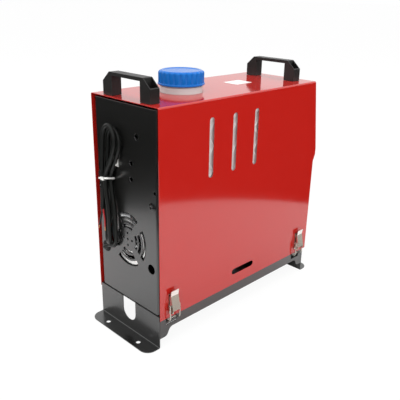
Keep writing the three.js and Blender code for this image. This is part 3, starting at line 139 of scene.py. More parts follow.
def finish(
    name, colour, roughness, grain, depth, metallic=0.0, specular=0.5, coat=0.0, shade=0.05, worn=0.05
):
    """A material whose colour and roughness drift in patches, and whose surface has a fine grain of a size
    and a depth in millimetres. The patches change the colour by a share and the roughness by an amount. A
    grain that is finer than this on the real piece is drawn as coarse as it needs to be to show."""
    material = bpy.data.materials.new(name)
    tree = blank_tree(material)
    place = add_node(tree, "ShaderNodeTexCoord", {}).outputs["Object"]
    patch = add_node(tree, "ShaderNodeTexNoise", {"Vector": place, "Scale": 1 / (PATCH * MM), "Detail": 3.0})
    fine = add_node(tree, "ShaderNodeTexNoise", {"Vector": place, "Scale": 1 / (grain * MM), "Detail": 2.0})
    base = np.array(linear(colour))
    low = (*np.clip(base[:3] * (1 - shade), 0, 1).tolist(), 1.0)
    high = (*np.clip(base[:3] * (1 + shade), 0, 1).tolist(), 1.0)
    tint = add_node(tree, "ShaderNodeMix", {0: patch.outputs["Fac"], 6: low, 7: high}, data_type="RGBA")
    rough = add_node(
        tree, "ShaderNodeMapRange",
        {"Value": patch.outputs["Fac"], "From Min": 0.3, "From Max": 0.7,
         "To Min": max(roughness - worn, 0.02), "To Max": roughness + worn},
    )
    bump = add_node(
        tree, "ShaderNodeBump", {"Height": fine.outputs["Fac"], "Strength": 1.0, "Distance": depth * MM}
    )
    shader = add_node(
        tree, "ShaderNodeBsdfPrincipled",
        {"Base Color": tint.outputs[2], "Roughness": rough.outputs["Result"], "Metallic": metallic,
         "Specular IOR Level": specular, "Coat Weight": coat, "Coat Roughness": roughness * 0.5,
         "Normal": bump.outputs["Normal"]},
    )
    add_node(tree, "ShaderNodeOutputMaterial", {"Surface": shader.outputs["BSDF"]})
    return material


def mesh_piece(name, points, faces, material, body="case", smooth=35.0):
    """A mesh object from points in millimetres and faces, merged, its faces turned outward, smooth-shaded up
    to an angle between faces, with a material, and riding on a body."""
    mesh = bpy.data.meshes.new(name)
    mesh.from_pydata((np.asarray(points, float) * MM).tolist(), [], [list(map(int, f)) for f in faces])
    work = bmesh.new()
    work.from_mesh(mesh)
    bmesh.ops.remove_doubles(work, verts=work.verts, dist=0.002 * MM)
    bmesh.ops.recalc_face_normals(work, faces=work.faces)
    work.to_mesh(mesh)
    work.free()
    mesh.polygons.foreach_set("use_smooth", np.full(len(mesh.polygons), smooth > 0))
    mesh.set_sharp_from_angle(angle=math.radians(smooth))
    mesh.materials.append(material)
    piece = add_object(name, mesh)
    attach(piece, body)
    return piece


def grid_faces(rows, columns):
    """Quads between neighbouring rows and columns of a grid of points, the last column joined to the
    first."""
    r = np.arange(rows - 1)[:, None]
    c = np.arange(columns)[None]
    n = (c + 1) % columns
    quads = [r * columns + c, r * columns + n, (r + 1) * columns + n, (r + 1) * columns + c]
    return np.stack(np.broadcast_arrays(*quads), -1).reshape(-1, 4)


def swept(name, line, section, material, reference=(1, 0, 0)):
    """A section of (u, v) points carried along a line without twisting: u starts along the reference made
    square to the line and is kept square to it from point to point, v is the cross product of line and u.
    Both ends are closed."""
    line = np.asarray(line, float)
    section = np.asarray(section, float)
    ahead = np.gradient(line, axis=0)
    ahead /= np.linalg.norm(ahead, axis=1)[:, None]
    u = np.empty_like(line)
    last = np.asarray(reference, float)
    if abs(ahead[0] @ last) > 0.9:
        last = np.array([0.0, 0.0, 1.0])
    for k, d in enumerate(ahead):
        last = last - d * (d @ last)
        last = last / np.linalg.norm(last)
        u[k] = last
    v = np.cross(ahead, u)
    points = line[:, None] + section[None, :, :1] * u[:, None] + section[None, :, 1:] * v[:, None]
    count = len(section)
    faces = grid_faces(len(line), count).tolist()
    faces += [list(range(count))[::-1], list(range((len(line) - 1) * count, len(line) * count))]
    return mesh_piece(name, points.reshape(-1, 3), faces, material)


def circle(radius, sides):
    """Points of a circle about the origin."""
    turn = np.arange(sides) * 2 * np.pi / sides
    return np.stack([radius * np.cos(turn), radius * np.sin(turn)], 1)


def through(points, per):
    """A smooth line through points: a centripetal Catmull-Rom spline with a number of steps to each span."""
    p = np.asarray(points, float)
    ends = np.vstack([2 * p[0] - p[1], p, 2 * p[-1] - p[-2]])
    gap = np.sqrt(np.linalg.norm(np.diff(ends, axis=0), axis=1))
    a, b, c, d = (x[:, None] for x in (ends[:-3], ends[1:-2], ends[2:-1], ends[3:]))
    t1 = gap[:-2][:, None, None]
    t2 = t1 + gap[1:-1][:, None, None]
    t3 = t2 + gap[2:][:, None, None]
    t = t1 + (t2 - t1) * np.linspace(0, 1, per, endpoint=False)[None, :, None]
    ab = (t1 - t) / t1 * a + t / t1 * b
    bc = (t2 - t) / (t2 - t1) * b + (t - t1) / (t2 - t1) * c
    cd = (t3 - t) / (t3 - t2) * c + (t - t2) / (t3 - t2) * d
    abc = (t2 - t) / t2 * ab + t / t2 * bc
    bcd = (t3 - t) / (t3 - t1) * bc + (t - t1) / (t3 - t1) * cd
    out = (t2 - t) / (t2 - t1) * abc + (t - t1) / (t2 - t1) * bcd
    return np.vstack([out.reshape(-1, 3), p[-1:]])


def smoothstep(x):
    """Zero below 0, one above 1, and 3x^2 - 2x^3 between them."""
    x = np.clip(x, 0.0, 1.0)
    return x * x * (3.0 - 2.0 * x)


SEAT = 0.3  # gap left between two pieces that lie on each other
PLATE_FRONT = -181.5
CABLE_RADIUS = 3.25
CABLE_PITCH = 7.4
SIDE_PITCH = 0.4  # more than the pitch, for each loop inwards
HANK_LOOPS = 2
HANK_STEPS = 24
HANK_TOP = 331.5
HANK_BOTTOM = 137.0
HANK_LOW_HALF = 15.5
HANK_HIGH_HALF = 17.8
HANK_ARCH = 22.0
HANK_STAGGER = 6.0  # how much lower the rear layer ends at the top
HANK_DRAWN = 8.5  # how far each side is drawn in by the tie
HANK_DRAWN_REACH = 34.0
HANK_DRAWN_FROM = 8.0  # strands nearer to the middle are drawn in less
HANK_LOW_Y = 36.8
HANK_LEAN = 16.0  # how far the upper end lies from there towards the near side
HANK_LEAN_LOW = 245.0
HANK_LEAN_HIGH = 308.0
HANK_TAIL = 6.5  # how far the free end turns in
HANK_TAIL_LOOPS = (0.34, 0.12)  # loops before the end where that starts, and how long it goes on
HANK_CUT = 0.21  # the part of the last loop that is missing
HANK_CLIMB = 0.3  # the part of a loop in which the cable climbs to the front layer
WAIST_Z = 249.0
TIE_THICK = 1.2
TIE_BACK = PLATE_FRONT - SEAT
HANK_REAR = TIE_BACK - TIE_THICK - SEAT - CABLE_RADIUS
CABLE_HOLE = (54.5, 128.5)


def hank_middle(z):
    """Where the loops' middle lies across the case at a height; the upper half leans to the near side."""
    return HANK_LOW_Y - HANK_LEAN * smoothstep((z - HANK_LEAN_LOW) / (HANK_LEAN_HIGH - HANK_LEAN_LOW))


def hank_points(loops):
    """Points of the hank after a number of loops. Each loop is a long ring with round ends. It spirals in on
    the rear layer, climbs round the lower end and spirals out on the front layer. Both loops are drawn in
    at the waist, where the distance to the middle loses a bell curve of the height, and the free end turns
    in."""
    part = (loops % 1) * HANK_STEPS
    inward = np.minimum(loops, HANK_LOOPS - loops)
    climb = smoothstep((loops - HANK_LOOPS / 2 + HANK_CLIMB / 2) / HANK_CLIMB)
    low = HANK_LOW_HALF - CABLE_PITCH * inward
    high = HANK_HIGH_HALF - CABLE_PITCH * inward
    low_z = HANK_BOTTOM + HANK_LOW_HALF
    high_z = HANK_TOP - HANK_ARCH - HANK_STAGGER * (1 - climb)
    quarter = HANK_STEPS / 8
    side = 2 * quarter
    rising = part < HANK_STEPS / 2
    done = np.where(rising, part, HANK_STEPS - part)
    low_turn = done / quarter * np.pi / 2
    high_turn = (done - quarter - side) / quarter * np.pi / 2
    along = (done - quarter) / side
    in_low = done < quarter
    in_side = done < quarter + side
    across = np.where(
        in_low, low * np.sin(low_turn),
        np.where(in_side, low + (high - low) * smoothstep(along), high * np.cos(high_turn)),
    )
    z = np.where(
        in_low, low_z - low * np.cos(low_turn),
        np.where(in_side, low_z + (high_z - low_z) * along, high_z + HANK_ARCH * np.sin(high_turn)),
    )
    drawn = HANK_DRAWN * np.exp(-(((z - WAIST_Z) / HANK_DRAWN_REACH) ** 2)) + SIDE_PITCH * inward
    across = across - np.minimum(across / HANK_DRAWN_FROM, 1) * drawn
    across = across - HANK_TAIL * smoothstep((loops - HANK_LOOPS + HANK_TAIL_LOOPS[0]) / HANK_TAIL_LOOPS[1])
    y = hank_middle(z) - np.where(rising, across, -across)
    return np.stack([HANK_REAR - climb * CABLE_PITCH, y, z], 1)


# soft black PVC sheath, extruded: dull, with a faint grain
cable_pvc = finish("black pvc sheath", "#101210", 0.4, 0.5, 0.01, specular=0.36, shade=0.08)
hank_begin = 1 / HANK_STEPS
hank_run = HANK_LOOPS - HANK_CUT - hank_begin
hank_count = round(hank_run * HANK_STEPS)
hank = hank_points(hank_begin + np.arange(hank_count + 1) * hank_run / hank_count)
backward = hank_points(np.zeros(1))[0] - hank[0]
hank_start = hank[0] + backward / np.linalg.norm(backward) * 2 * CABLE_RADIUS
cable_end = hank[-1] - [0, 0, 2 * CABLE_RADIUS]
away = (hank_start - hank[0]) / (2 * CABLE_RADIUS)
lead = [
    [PLATE_FRONT - 0.2, CABLE_HOLE[0], CABLE_HOLE[1]],
    [PLATE_FRONT - 1.4, CABLE_HOLE[0], CABLE_HOLE[1]],
    [PLATE_FRONT - 4.4, CABLE_HOLE[0] - 1, CABLE_HOLE[1] + 0.2],
    [PLATE_FRONT - 6.6, CABLE_HOLE[0] - 3.2, CABLE_HOLE[1] + 1.1],
    [PLATE_FRONT - 6.8, CABLE_HOLE[0] - 6, CABLE_HOLE[1] + 2.8],
    hank_start + away * (2 * CABLE_RADIUS + 0.3),
]
cable_line = through(np.vstack([lead, hank_start, hank, cable_end]), 5)
cable = swept("power_cable", cable_line, circle(CABLE_RADIUS - 0.02, 20), cable_pvc)
inner_line = np.array([[PLATE_FRONT + d, *CABLE_HOLE] for d in (12, 8, 4, 0)])
inner_cable = swept("power_cable_inside", inner_line, circle(CABLE_RADIUS - 0.05, 20), cable_pvc)
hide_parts("cable_hank")
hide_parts("cable_lead")


# ---- The cable's two conductors: stranded copper in red and in black PVC, each with a stripped bare tip.
# They hang out of the cut end of the sheath inside the hank.
CONDUCTOR_RADIUS = 1.3
CONDUCTOR_APART = 1.6  # from the middle of the cable
CONDUCTOR_HELD = 1.5  # length inside the sheath
CONDUCTOR_DROP = 3.3  # straight stretch out of the sheath
STRIPPED = 7.0
STRAND_SHARE = 0.7  # the strand's radius as a share of the conductor's
# extruded red PVC insulation: smooth, with a soft gloss
red_pvc = finish("red pvc insulation", "#b01c1e", 0.4, 0.5, 0.008, shade=0.06)
# bare stranded copper: orange metal, its strands drawn as a coarse grain
bare_copper = finish("bare copper strand", "#c98a5c", 0.3, 0.25, 0.03, metallic=1.0)


def conductor(name, side, points, material):
    """A conductor from the cut end through points, and the thinner tip of copper that goes on from it."""
    first = cable_end + [0, side * CONDUCTOR_APART, 0]
    line = through(np.vstack([first + [0, 0, CONDUCTOR_HELD], first - [0, 0, CONDUCTOR_DROP], points]), 8)
    sleeve = swept(name, line, circle(CONDUCTOR_RADIUS, 12), material)
    down = line[-1] - line[-3]
    down /= np.linalg.norm(down)
    tip_line = line[-1] + np.outer(np.linspace(-1, STRIPPED, 5), down)
    tip = swept(name + "_tip", tip_line, circle(CONDUCTOR_RADIUS * STRAND_SHARE, 10), bare_copper)
    return sleeve, tip


red_way = [cable_end + [1, -2.4, -18], cable_end + [1.5, -1.8, -30]]
black_way = [cable_end + [0, 6.5, -18], cable_end + [1, 12, -31]]
red_lead, red_tip = conductor("conductor_red", -1, red_way, red_pvc)
black_lead, black_tip = conductor("conductor_black", 1, black_way, cable_pvc)
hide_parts("lead_red")
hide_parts("lead_black")


# ---- Cable tie: a moulded white nylon band round the hank's waist, with its square head in front. A black
# rubber tab and a barbed polyamide stud hold it in the plate's small hole.
def turned(name, profile, centre, material, axis="x", sides=48, smooth=35.0):
    """A profile of [radius, place along the axis] turned round an axis through a centre. A profile that
    doesn't start and end on the axis is closed on itself."""
    profile = np.asarray(profile, float)
    solid = profile[0, 0] == 0 and profile[-1, 0] == 0
    if not solid:
        profile = np.vstack([profile, profile[:1]])
    turn = np.arange(sides) * 2 * np.pi / sides
    r, along = profile[:, :1], np.repeat(profile[:, 1:], sides, 1)
    u, v = r * np.cos(turn), r * np.sin(turn)
    if axis == "x":
        points = np.stack([along, centre[0] + u, centre[1] + v], -1)
    else:
        points = np.stack([centre[0] + u, centre[1] + v, along], -1)
    faces = grid_faces(len(profile), sides)
    return mesh_piece(name, points.reshape(-1, 3), faces, material, smooth=smooth)


def rounded_block(name, low, high, radius, material):
    """A box between two corners with all its edges rounded."""
    low, high = np.asarray(low, float), np.asarray(high, float)
    stretch = Matrix.LocRotScale(((low + high) / 2).tolist(), None, (high - low).tolist())
    work = bmesh.new()
    bmesh.ops.create_cube(work, size=1.0, matrix=stretch)
    bmesh.ops.bevel(
        work, geom=work.edges[:], offset=radius, offset_type="OFFSET", segments=3, profile=0.5,
        affect="EDGES",
    )
    points = [list(v.co) for v in work.verts]
    faces = [[v.index for v in f.verts] for f in work.faces]
    work.free()
    return mesh_piece(name, points, faces, material, smooth=50.0)


# moulded black rubber: dull and nearly black
rubber = finish("black rubber", "#0d0d0d", 0.6, 0.4, 0.012, specular=0.3, shade=0.06)
# moulded black polyamide: a satin sheen over a fine spark-eroded texture
black_nylon = finish("black moulded polyamide", "#161413", 0.42, 0.5, 0.02, specular=0.5, shade=0.06)
# moulded white nylon: smooth, with a soft gloss
nylon = finish("white nylon", "#eeeeea", 0.4, 0.6, 0.01, shade=0.02)
WAIST_REACH = 24.0  # heights above and below the waist over which the band clears the strands
TIE_FALL = 0.22
TIE_HALF = 1.3  # half the band's width
TIE_CHAMFER = (0.2, 0.1)
HEAD_DEEP = 4.2
HEAD_HALF = (3.6, 2.2)
HEAD_ASIDE = 4.5  # from the loops' middle to the near side
TIE_HOLE_Y = 64.0
tie_front = HANK_REAR - CABLE_PITCH - CABLE_RADIUS - SEAT
waist = hank[np.abs(hank[:, 2] - WAIST_Z) < WAIST_REACH]
tie_low = waist[:, 1].min() - CABLE_RADIUS - SEAT
tie_high = waist[:, 1].max() + CABLE_RADIUS + SEAT
tie_turns = np.linspace(0, 2 * np.pi, 41)[:-1]
tie_corner = np.stack([np.cos(tie_turns), np.sin(tie_turns)], 1) * (CABLE_RADIUS + TIE_THICK / 2)
tie_inner = np.array([tie_front + CABLE_RADIUS, tie_low + CABLE_RADIUS])
tie_outer = np.array([TIE_BACK - TIE_THICK - CABLE_RADIUS, tie_high - CABLE_RADIUS])
tie_spots = np.where(tie_corner > 0, tie_outer, tie_inner) + tie_corner
tie_middle = np.array([tie_front + TIE_BACK - TIE_THICK, tie_low + tie_high]) / 2


def tie_height(x, y):
    """The band drops towards the plate and the far side."""
    return WAIST_Z - TIE_FALL * (x - tie_middle[0] + y - tie_middle[1])


tie_line = np.column_stack([tie_spots, tie_height(tie_spots[:, 0], tie_spots[:, 1])])
tie_line = np.vstack([tie_line, tie_line[:1]])
half, thick = TIE_HALF, TIE_THICK / 2
flat, side = half - TIE_CHAMFER[0], thick - TIE_CHAMFER[1]
band = [
    [-half, -side], [-flat, -thick], [flat, -thick], [half, -side],
    [half, side], [flat, thick], [-flat, thick], [-half, side],
]
tie = swept("cable_tie_band", tie_line, band, nylon, reference=(0, 0, 1))
head_y = float(hank_middle(WAIST_Z)) - HEAD_ASIDE
head_z = float(tie_height(tie_front, head_y))
tie_head = rounded_block(
    "cable_tie_head", [tie_front - HEAD_DEEP, head_y - HEAD_HALF[0], head_z - HEAD_HALF[1]],
    [tie_front - TIE_THICK / 2, head_y + HEAD_HALF[0], head_z + HEAD_HALF[1]], 0.7, nylon,
)
stud_profile = [[0, -0.6], [3.1, -0.6], [3.1, 0], [1.8, 0], [1.8, 2.4], [2.3, 2.8], [0, 6]]
tie_stud = turned(
    "cable_tie_stud", np.array(stud_profile) + [0, TIE_BACK], (TIE_HOLE_Y, WAIST_Z), black_nylon, sides=24
)
tie_tab = rounded_block(
    "cable_tie_tab", [TIE_BACK - TIE_THICK, tie_high - 4, WAIST_Z - 5.5],
    [TIE_BACK - 0.05, TIE_HOLE_Y + 2, WAIST_Z + TIE_HALF], 0.3, rubber,
)
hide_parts("cable_tie")

# ---- Grommet: a black rubber collar moulded round the cable's hole. Its groove grips the plate's edge, and
# its lips are rounded off on both sides.
grommet_profile = [
    [3.5, -1.4], [7.6, -1.4], [8.7, -1.1], [9.3, -SEAT], [7.2, -SEAT], [7.2, 1.8], [9.3, 1.8], [8.7, 3.2],
    [3.5, 3.5],
]
grommet = turned("grommet", np.array(grommet_profile) + [0, PLATE_FRONT], CABLE_HOLE, rubber, sides=40)
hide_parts("cable_grommet")


# ---- Stage: a wide pale floor, an even white room and three soft lamps. The painted faces mirror the pale
# floor near the object and dark surroundings beyond it, which a thin ring gives that only reflections see.
def light_path_level(tree, seen, unseen):
    """A value that is one level for camera, glossy and transmission rays and another for the rest."""
    path = add_node(tree, "ShaderNodeLightPath", {})
    direct = add_node(
        tree, "ShaderNodeMath", {0: path.outputs["Is Camera Ray"], 1: path.outputs["Is Glossy Ray"]},
        operation="ADD",
    )
    direct = add_node(
        tree, "ShaderNodeMath", {0: direct.outputs[0], 1: path.outputs["Is Transmission Ray"]},
        operation="ADD", use_clamp=True,
    )
    return add_node(
        tree, "ShaderNodeMapRange", {"Value": direct.outputs[0], "To Min": unseen, "To Max": seen}
    ).outputs["Result"]


# The stage's sizes are in metres, its levels are shares of white.
FLOOR_HALF = 30.0
FLOOR_DROP = 0.0003
FLOOR_GREY = (0.9, 0.9, 0.9, 1.0)
FLOOR_WHITE = 1.02
FLOOR_SHOWS = 0.9  # the share of plain white in what the camera sees of the floor
ROOM_LEVEL = 0.8
DARK_FROM = 0.597
DARK_TO = 6.0
DARK_MIDDLE = (-0.024, 0.024)
DARK_LIFT = 0.0008
DARK_SIDES = 96
LAMP_AIM = (0.0, 0.0, 0.2)
WHITE = (1.0, 1.0, 1.0, 1.0)
BLACK = (0.0, 0.0, 0.0, 1.0)

floor_mesh = bpy.data.meshes.new("floor")
floor_corners = [(x * FLOOR_HALF, y * FLOOR_HALF, 0) for x, y in ((-1, -1), (1, -1), (1, 1), (-1, 1))]
floor_mesh.from_pydata(floor_corners, [], [(0, 1, 2, 3)])
floor = add_object("floor", floor_mesh)
# matt white paint that mostly shows as plain white to the camera and keeps a faint shadow
floor_paint = bpy.data.materials.new("white studio floor")
floor_tree = blank_tree(floor_paint)
floor_white = add_node(floor_tree, "ShaderNodeBsdfDiffuse", {"Color": FLOOR_GREY, "Roughness": 1.0})
floor_glow = add_node(floor_tree, "ShaderNodeEmission", {"Color": WHITE, "Strength": FLOOR_WHITE})
floor_path = add_node(floor_tree, "ShaderNodeLightPath", {})
floor_share = add_node(
    floor_tree, "ShaderNodeMath", {0: floor_path.outputs["Is Camera Ray"], 1: FLOOR_SHOWS},
    operation="MULTIPLY",
)
floor_mix = add_node(
    floor_tree, "ShaderNodeMixShader",
    {0: floor_share.outputs[0], 1: floor_white.outputs[0], 2: floor_glow.outputs[0]},
)
add_node(floor_tree, "ShaderNodeOutputMaterial", {"Surface": floor_mix.outputs[0]})
floor_mesh.materials.append(floor_paint)
floor.location.z = -FLOOR_DROP

ring_spots = np.vstack([circle(r, DARK_SIDES) for r in (DARK_FROM, DARK_TO)]) + DARK_MIDDLE
ring_points = np.column_stack([ring_spots, np.full(len(ring_spots), DARK_LIFT)])
ring_mesh = bpy.data.meshes.new("dark_surroundings")
ring_mesh.from_pydata(ring_points.tolist(), [], grid_faces(2, DARK_SIDES).tolist())
dark_ring = add_object("dark_surroundings", ring_mesh)
# plain black that gives no light
dark_paint = bpy.data.materials.new("dark surroundings")
dark_tree = blank_tree(dark_paint)
dark_glow = add_node(dark_tree, "ShaderNodeEmission", {"Color": BLACK, "Strength": 0.0})
add_node(dark_tree, "ShaderNodeOutputMaterial", {"Surface": dark_glow.outputs[0]})
ring_mesh.materials.append(dark_paint)
dark_ring.visible_camera = False
dark_ring.visible_diffuse = False
dark_ring.visible_transmission = False
dark_ring.visible_volume_scatter = False
dark_ring.visible_shadow = False

world = bpy.data.worlds.new("white room")
bpy.context.scene.world = world
world_tree = blank_tree(world)
world_level = light_path_level(world_tree, 1.0, ROOM_LEVEL)
sky = add_node(world_tree, "ShaderNodeBackground", {"Color": WHITE, "Strength": world_level})
add_node(world_tree, "ShaderNodeOutputWorld", {"Surface": sky.outputs[0]})

# name, place, diameter and power in watts
for lamp_name, place, size, power in (
    ("soft_top", (0.0, -0.1, 2.2), 1.8, 22.0),
    ("soft_left", (-2.0, -0.6, 1.3), 1.4, 10.0),
    ("soft_right", (1.0, -2.2, 1.3), 1.4, 10.0),
):
    lamp_data = bpy.data.lights.new(lamp_name, "AREA")
    lamp_data.shape = "DISK"
    lamp_data.size = size
    lamp_data.energy = power
    lamp = add_object(lamp_name, lamp_data)
    back = np.array(place) - LAMP_AIM
    back /= np.linalg.norm(back)
    side = np.cross([0.0, 1.0, 0.0] if abs(back[2]) > 0.9 else [0.0, 0.0, 1.0], back)
    side /= np.linalg.norm(side)
    turn = np.eye(4)
    turn[:3, :3] = np.stack([side, np.cross(back, side), back], 1)
    turn[:3, 3] = place
    lamp.matrix_world = Matrix(turn.tolist())
    lamp.visible_glossy = False


# ---- Cover: one folded sheet in gloss red powder coat, a top and two sides. The rear edge stands upright,
# steps out and leans in towards the top. It has three fuel windows and a breather slot in each side.
FOLD_STEPS = 5


def fold_path(corners, radii):
    """Breakpoints of a folded line: distance along it, place and left-hand normal at each. Each inner corner
    is rounded by an arc of its radius."""
    corners = np.asarray(corners, float)
    places, normals = [], []

    def left(d):
        return np.array([-d[1], d[0]])

    for k in range(len(corners)):
        if k in (0, len(corners) - 1):
            d = corners[1] - corners[0] if k == 0 else corners[-1] - corners[-2]
            places.append(corners[k])
            normals.append(left(d / np.linalg.norm(d)))
            continue
        a = (corners[k] - corners[k - 1]) / np.linalg.norm(corners[k] - corners[k - 1])
        b = (corners[k + 1] - corners[k]) / np.linalg.norm(corners[k + 1] - corners[k])
        turn = math.atan2(a[0] * b[1] - a[1] * b[0], a @ b)
        reach = radii[k - 1] * math.tan(abs(turn) / 2)
        sign = 1 if turn > 0 else -1
        centre = corners[k] - a * reach + sign * left(a) * radii[k - 1]
        for s in range(FOLD_STEPS + 1):
            t = turn * s / FOLD_STEPS
            n = np.array([math.cos(t) * left(a)[0] - math.sin(t) * left(a)[1],
                          math.sin(t) * left(a)[0] + math.cos(t) * left(a)[1]])
            places.append(centre - sign * n * radii[k - 1])
            normals.append(n)
    places, normals = np.array(places), np.array(normals)
    along = np.concatenate([[0], np.cumsum(np.linalg.norm(np.diff(places, axis=0), axis=1))])
    return along, places, normals


def material_side(loop):
    """Unit direction into the sheet at each point of a closed loop, which has the sheet on its left, and the
    factor that keeps an inset loop parallel at its corners."""
    ahead = np.roll(loop, -1, 0) - loop
    ahead /= np.linalg.norm(ahead, axis=1)[:, None]
    left = np.stack([-ahead[:, 1], ahead[:, 0]], 1)
    before = np.roll(left, 1, 0)
    both = left + before
    both /= np.maximum(np.linalg.norm(both, axis=1), 1e-9)[:, None]
    return both, 1 / np.clip((both * left).sum(1), 0.5, 1)


def split_at(loop, levels):
    """A closed loop of (u, v) points with a point added wherever it crosses one of the levels of v."""
    out = []
    for a, b in zip(loop, np.roll(loop, -1, 0)):
        out.append(a)
        low, high = min(a[1], b[1]) + 1e-4, max(a[1], b[1]) - 1e-4
        cut = [(v - a[1]) / (b[1] - a[1]) for v in levels if low < v < high]
        out += [a + (b - a) * t for t in sorted(cut)]
    return np.array(out)


def area_of(loop):
    """Signed area of a closed loop."""
    x, y = loop[:, 0], loop[:, 1]
    return float((x * np.roll(y, -1) - y * np.roll(x, -1)).sum() / 2)


def inside(points, loops):
    """Which points lie inside the outline and outside the holes, by counting crossings of all loops."""
    count = np.zeros(len(points), int)
    for loop in loops:
        for a, b in zip(loop, np.roll(loop, -1, 0)):
            above = (a[1] > points[:, 1]) != (b[1] > points[:, 1])
            with np.errstate(divide="ignore", invalid="ignore"):
                x = a[0] + (points[:, 1] - a[1]) / (b[1] - a[1]) * (b[0] - a[0])
            count += above & (points[:, 0] < x)
    return count % 2 == 1


def bend_loss(radius):
    """How much shorter a blank is than its two flanges for a right-angled bend of an outer radius."""
    return (2 - math.pi / 2) * radius


def sheet_shell(outline, holes, corners, radii, thickness, place, edge=0.35):
    """Points, normals and faces of a folded sheet. The flat blank has u across the fold path and v along it;
    the fold path's left-hand side is the outer face, and place turns (u, a, b) arrays into X, Y and Z. Every
    edge of the sheet is rounded: the rim's rows run from the outer face to the inner one in steps of 45
    degrees, inset by r (1 - sin f) and sunk by r (1 - cos f)."""
    along, places, normals = fold_path(corners, radii)
    loops = [np.asarray(outline, float)] + [np.asarray(h, float) for h in holes]
    loops = [loop if (area_of(loop) > 0) == (k == 0) else loop[::-1] for k, loop in enumerate(loops)]
    inner_levels = along[1:-1]
    loops = [split_at(loop, inner_levels) for loop in loops]
    r = min(edge, thickness / 2)
    angles = np.radians([0, 45, 90, 90, 135, 180])
    insets = r * (1 - np.sin(angles))
    sinks = np.where(np.arange(6) < 3, r * (1 - np.cos(angles)), thickness - r * (1 + np.cos(angles)))

    def shaped(uv, sink, outward, angle):
        v = np.clip(uv[:, 1], along[0], along[-1])
        spot = np.stack([np.interp(v, along, places[:, k]) for k in (0, 1)], 1)
        n = np.stack([np.interp(v, along, normals[:, k]) for k in (0, 1)], 1)
        n /= np.linalg.norm(n, axis=1)[:, None]
        over = uv[:, 1] - v
        spot = spot + over[:, None] * np.stack([n[:, 1], -n[:, 0]], 1) - n * np.asarray(sink)[..., None]
        tangent = np.stack([n[:, 1], -n[:, 0]], 1)
        face_normal = place(np.zeros(len(uv)), n[:, 0], n[:, 1])
        across = place(outward[:, 0], outward[:, 1] * tangent[:, 0], outward[:, 1] * tangent[:, 1])
        normal = np.cos(angle) * face_normal + np.sin(angle) * across
        return place(uv[:, 0], spot[:, 0], spot[:, 1]), normal

    points, normal_list, faces = [], [], []
    total = 0
    flat_loops = []
    for loop in loops:
        into, factor = material_side(loop)
        rows = []
        for angle, inset, sink in zip(angles, insets, sinks):
            uv = loop + into * (factor * inset)[:, None]
            p, n = shaped(uv, sink, -into, angle)
            points.append(p)
            normal_list.append(n)
            rows.append(total + np.arange(len(loop)))
            total += len(loop)
        flat_loops.append(loop + into * (factor * insets[0])[:, None])
        for a, b in zip(rows[:-1], rows[1:]):
            faces += np.stack([a, np.roll(a, -1), np.roll(b, -1), b], 1).tolist()
    flat = np.vstack(flat_loops)
    edges, start = [], 0
    for loop in flat_loops:
        k = np.arange(len(loop))
        edges += np.stack([start + k, start + (k + 1) % len(loop)], 1).tolist()
        start += len(loop)
    u_low, u_high = flat[:, 0].min() - 1, flat[:, 0].max() + 1
    bend_ends = np.array([[u, v] for v in inner_levels for u in (u_low, u_high)]).reshape(-1, 2)
    bend_edges = [[len(flat) + 2 * k, len(flat) + 2 * k + 1] for k in range(len(inner_levels))]
    cut = delaunay_2d_cdt(
        np.vstack([flat, bend_ends]).tolist(), edges + bend_edges, [], 0, 1e-4, False
    )
    blank = np.array([list(p) for p in cut[0]])
    triangles = np.array([list(f) for f in cut[2] if len(f) == 3])
    triangles = triangles[inside(blank[triangles].mean(1), flat_loops)]
    for angle, sink in ((0.0, 0.0), (math.pi, thickness)):
        p, n = shaped(blank, sink, np.zeros((len(blank), 2)), angle)
        points.append(p)
        normal_list.append(n)
        faces += (triangles + total).tolist()
        total += len(blank)
    return np.vstack(points), np.vstack(normal_list), faces


def sheet_piece(name, shells, material):
    """One object from several folded sheets, with the sheets' own normals."""
    points, normals, faces, start = [], [], [], 0
    for p, n, f in shells:
        points.append(p)
        normals.append(n)
        faces += [[start + k for k in face] for face in f]
        start += len(p)
    points, normals = np.vstack(points), np.vstack(normals)
    normals /= np.maximum(np.linalg.norm(normals, axis=1), 1e-9)[:, None]
    ordered = []
    for face in faces:
        q = points[face]
        if len(face) == 3:
            flat = np.cross(q[1] - q[0], q[2] - q[0])
        else:
            flat = np.cross(q[2] - q[0], q[3] - q[1])
        ordered.append(face if flat @ normals[face].mean(0) >= 0 else face[::-1])
    mesh = bpy.data.meshes.new(name)
    mesh.from_pydata((points * MM).tolist(), [], ordered)
    mesh.polygons.foreach_set("use_smooth", np.ones(len(mesh.polygons), bool))
    mesh.normals_split_custom_set_from_vertices(normals.tolist())
    mesh.materials.append(material)
    piece = add_object(name, mesh)
    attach(piece, "case")
    return piece


def arc(u, v, radius, low, high, count):
    """Points of an arc from one angle to another, in degrees."""
    t = np.radians(np.linspace(low, high, count))
    return np.stack([u + radius * np.cos(t), v + radius * np.sin(t)], 1)


def round_hole(u, v, radius, count=36):
    """A round hole."""
    return arc(u, v, radius, 0, 360, count + 1)[:-1]


def slot_hole(u, v, wide, tall):
    """A slot with half-round ends, upright or lying."""
    r = min(wide, tall) / 2
    if tall >= wide:
        ends = [arc(u, v + tall / 2 - r, r, 0, 180, 9), arc(u, v - tall / 2 + r, r, 180, 360, 9)]
    else:
        ends = [arc(u + wide / 2 - r, v, r, -90, 90, 9), arc(u - wide / 2 + r, v, r, 90, 270, 9)]
    return np.vstack(ends)


def along_x(u, a, b):
    """Places of a sheet that is folded across the case: u is X, and the fold path lies in Y and Z."""
    return np.stack([u, a, b], 1)


def along_y(u, a, b):
    """Places of a sheet whose u is Y, with its fold path in X and Z."""
    return np.stack([a, u, b], 1)


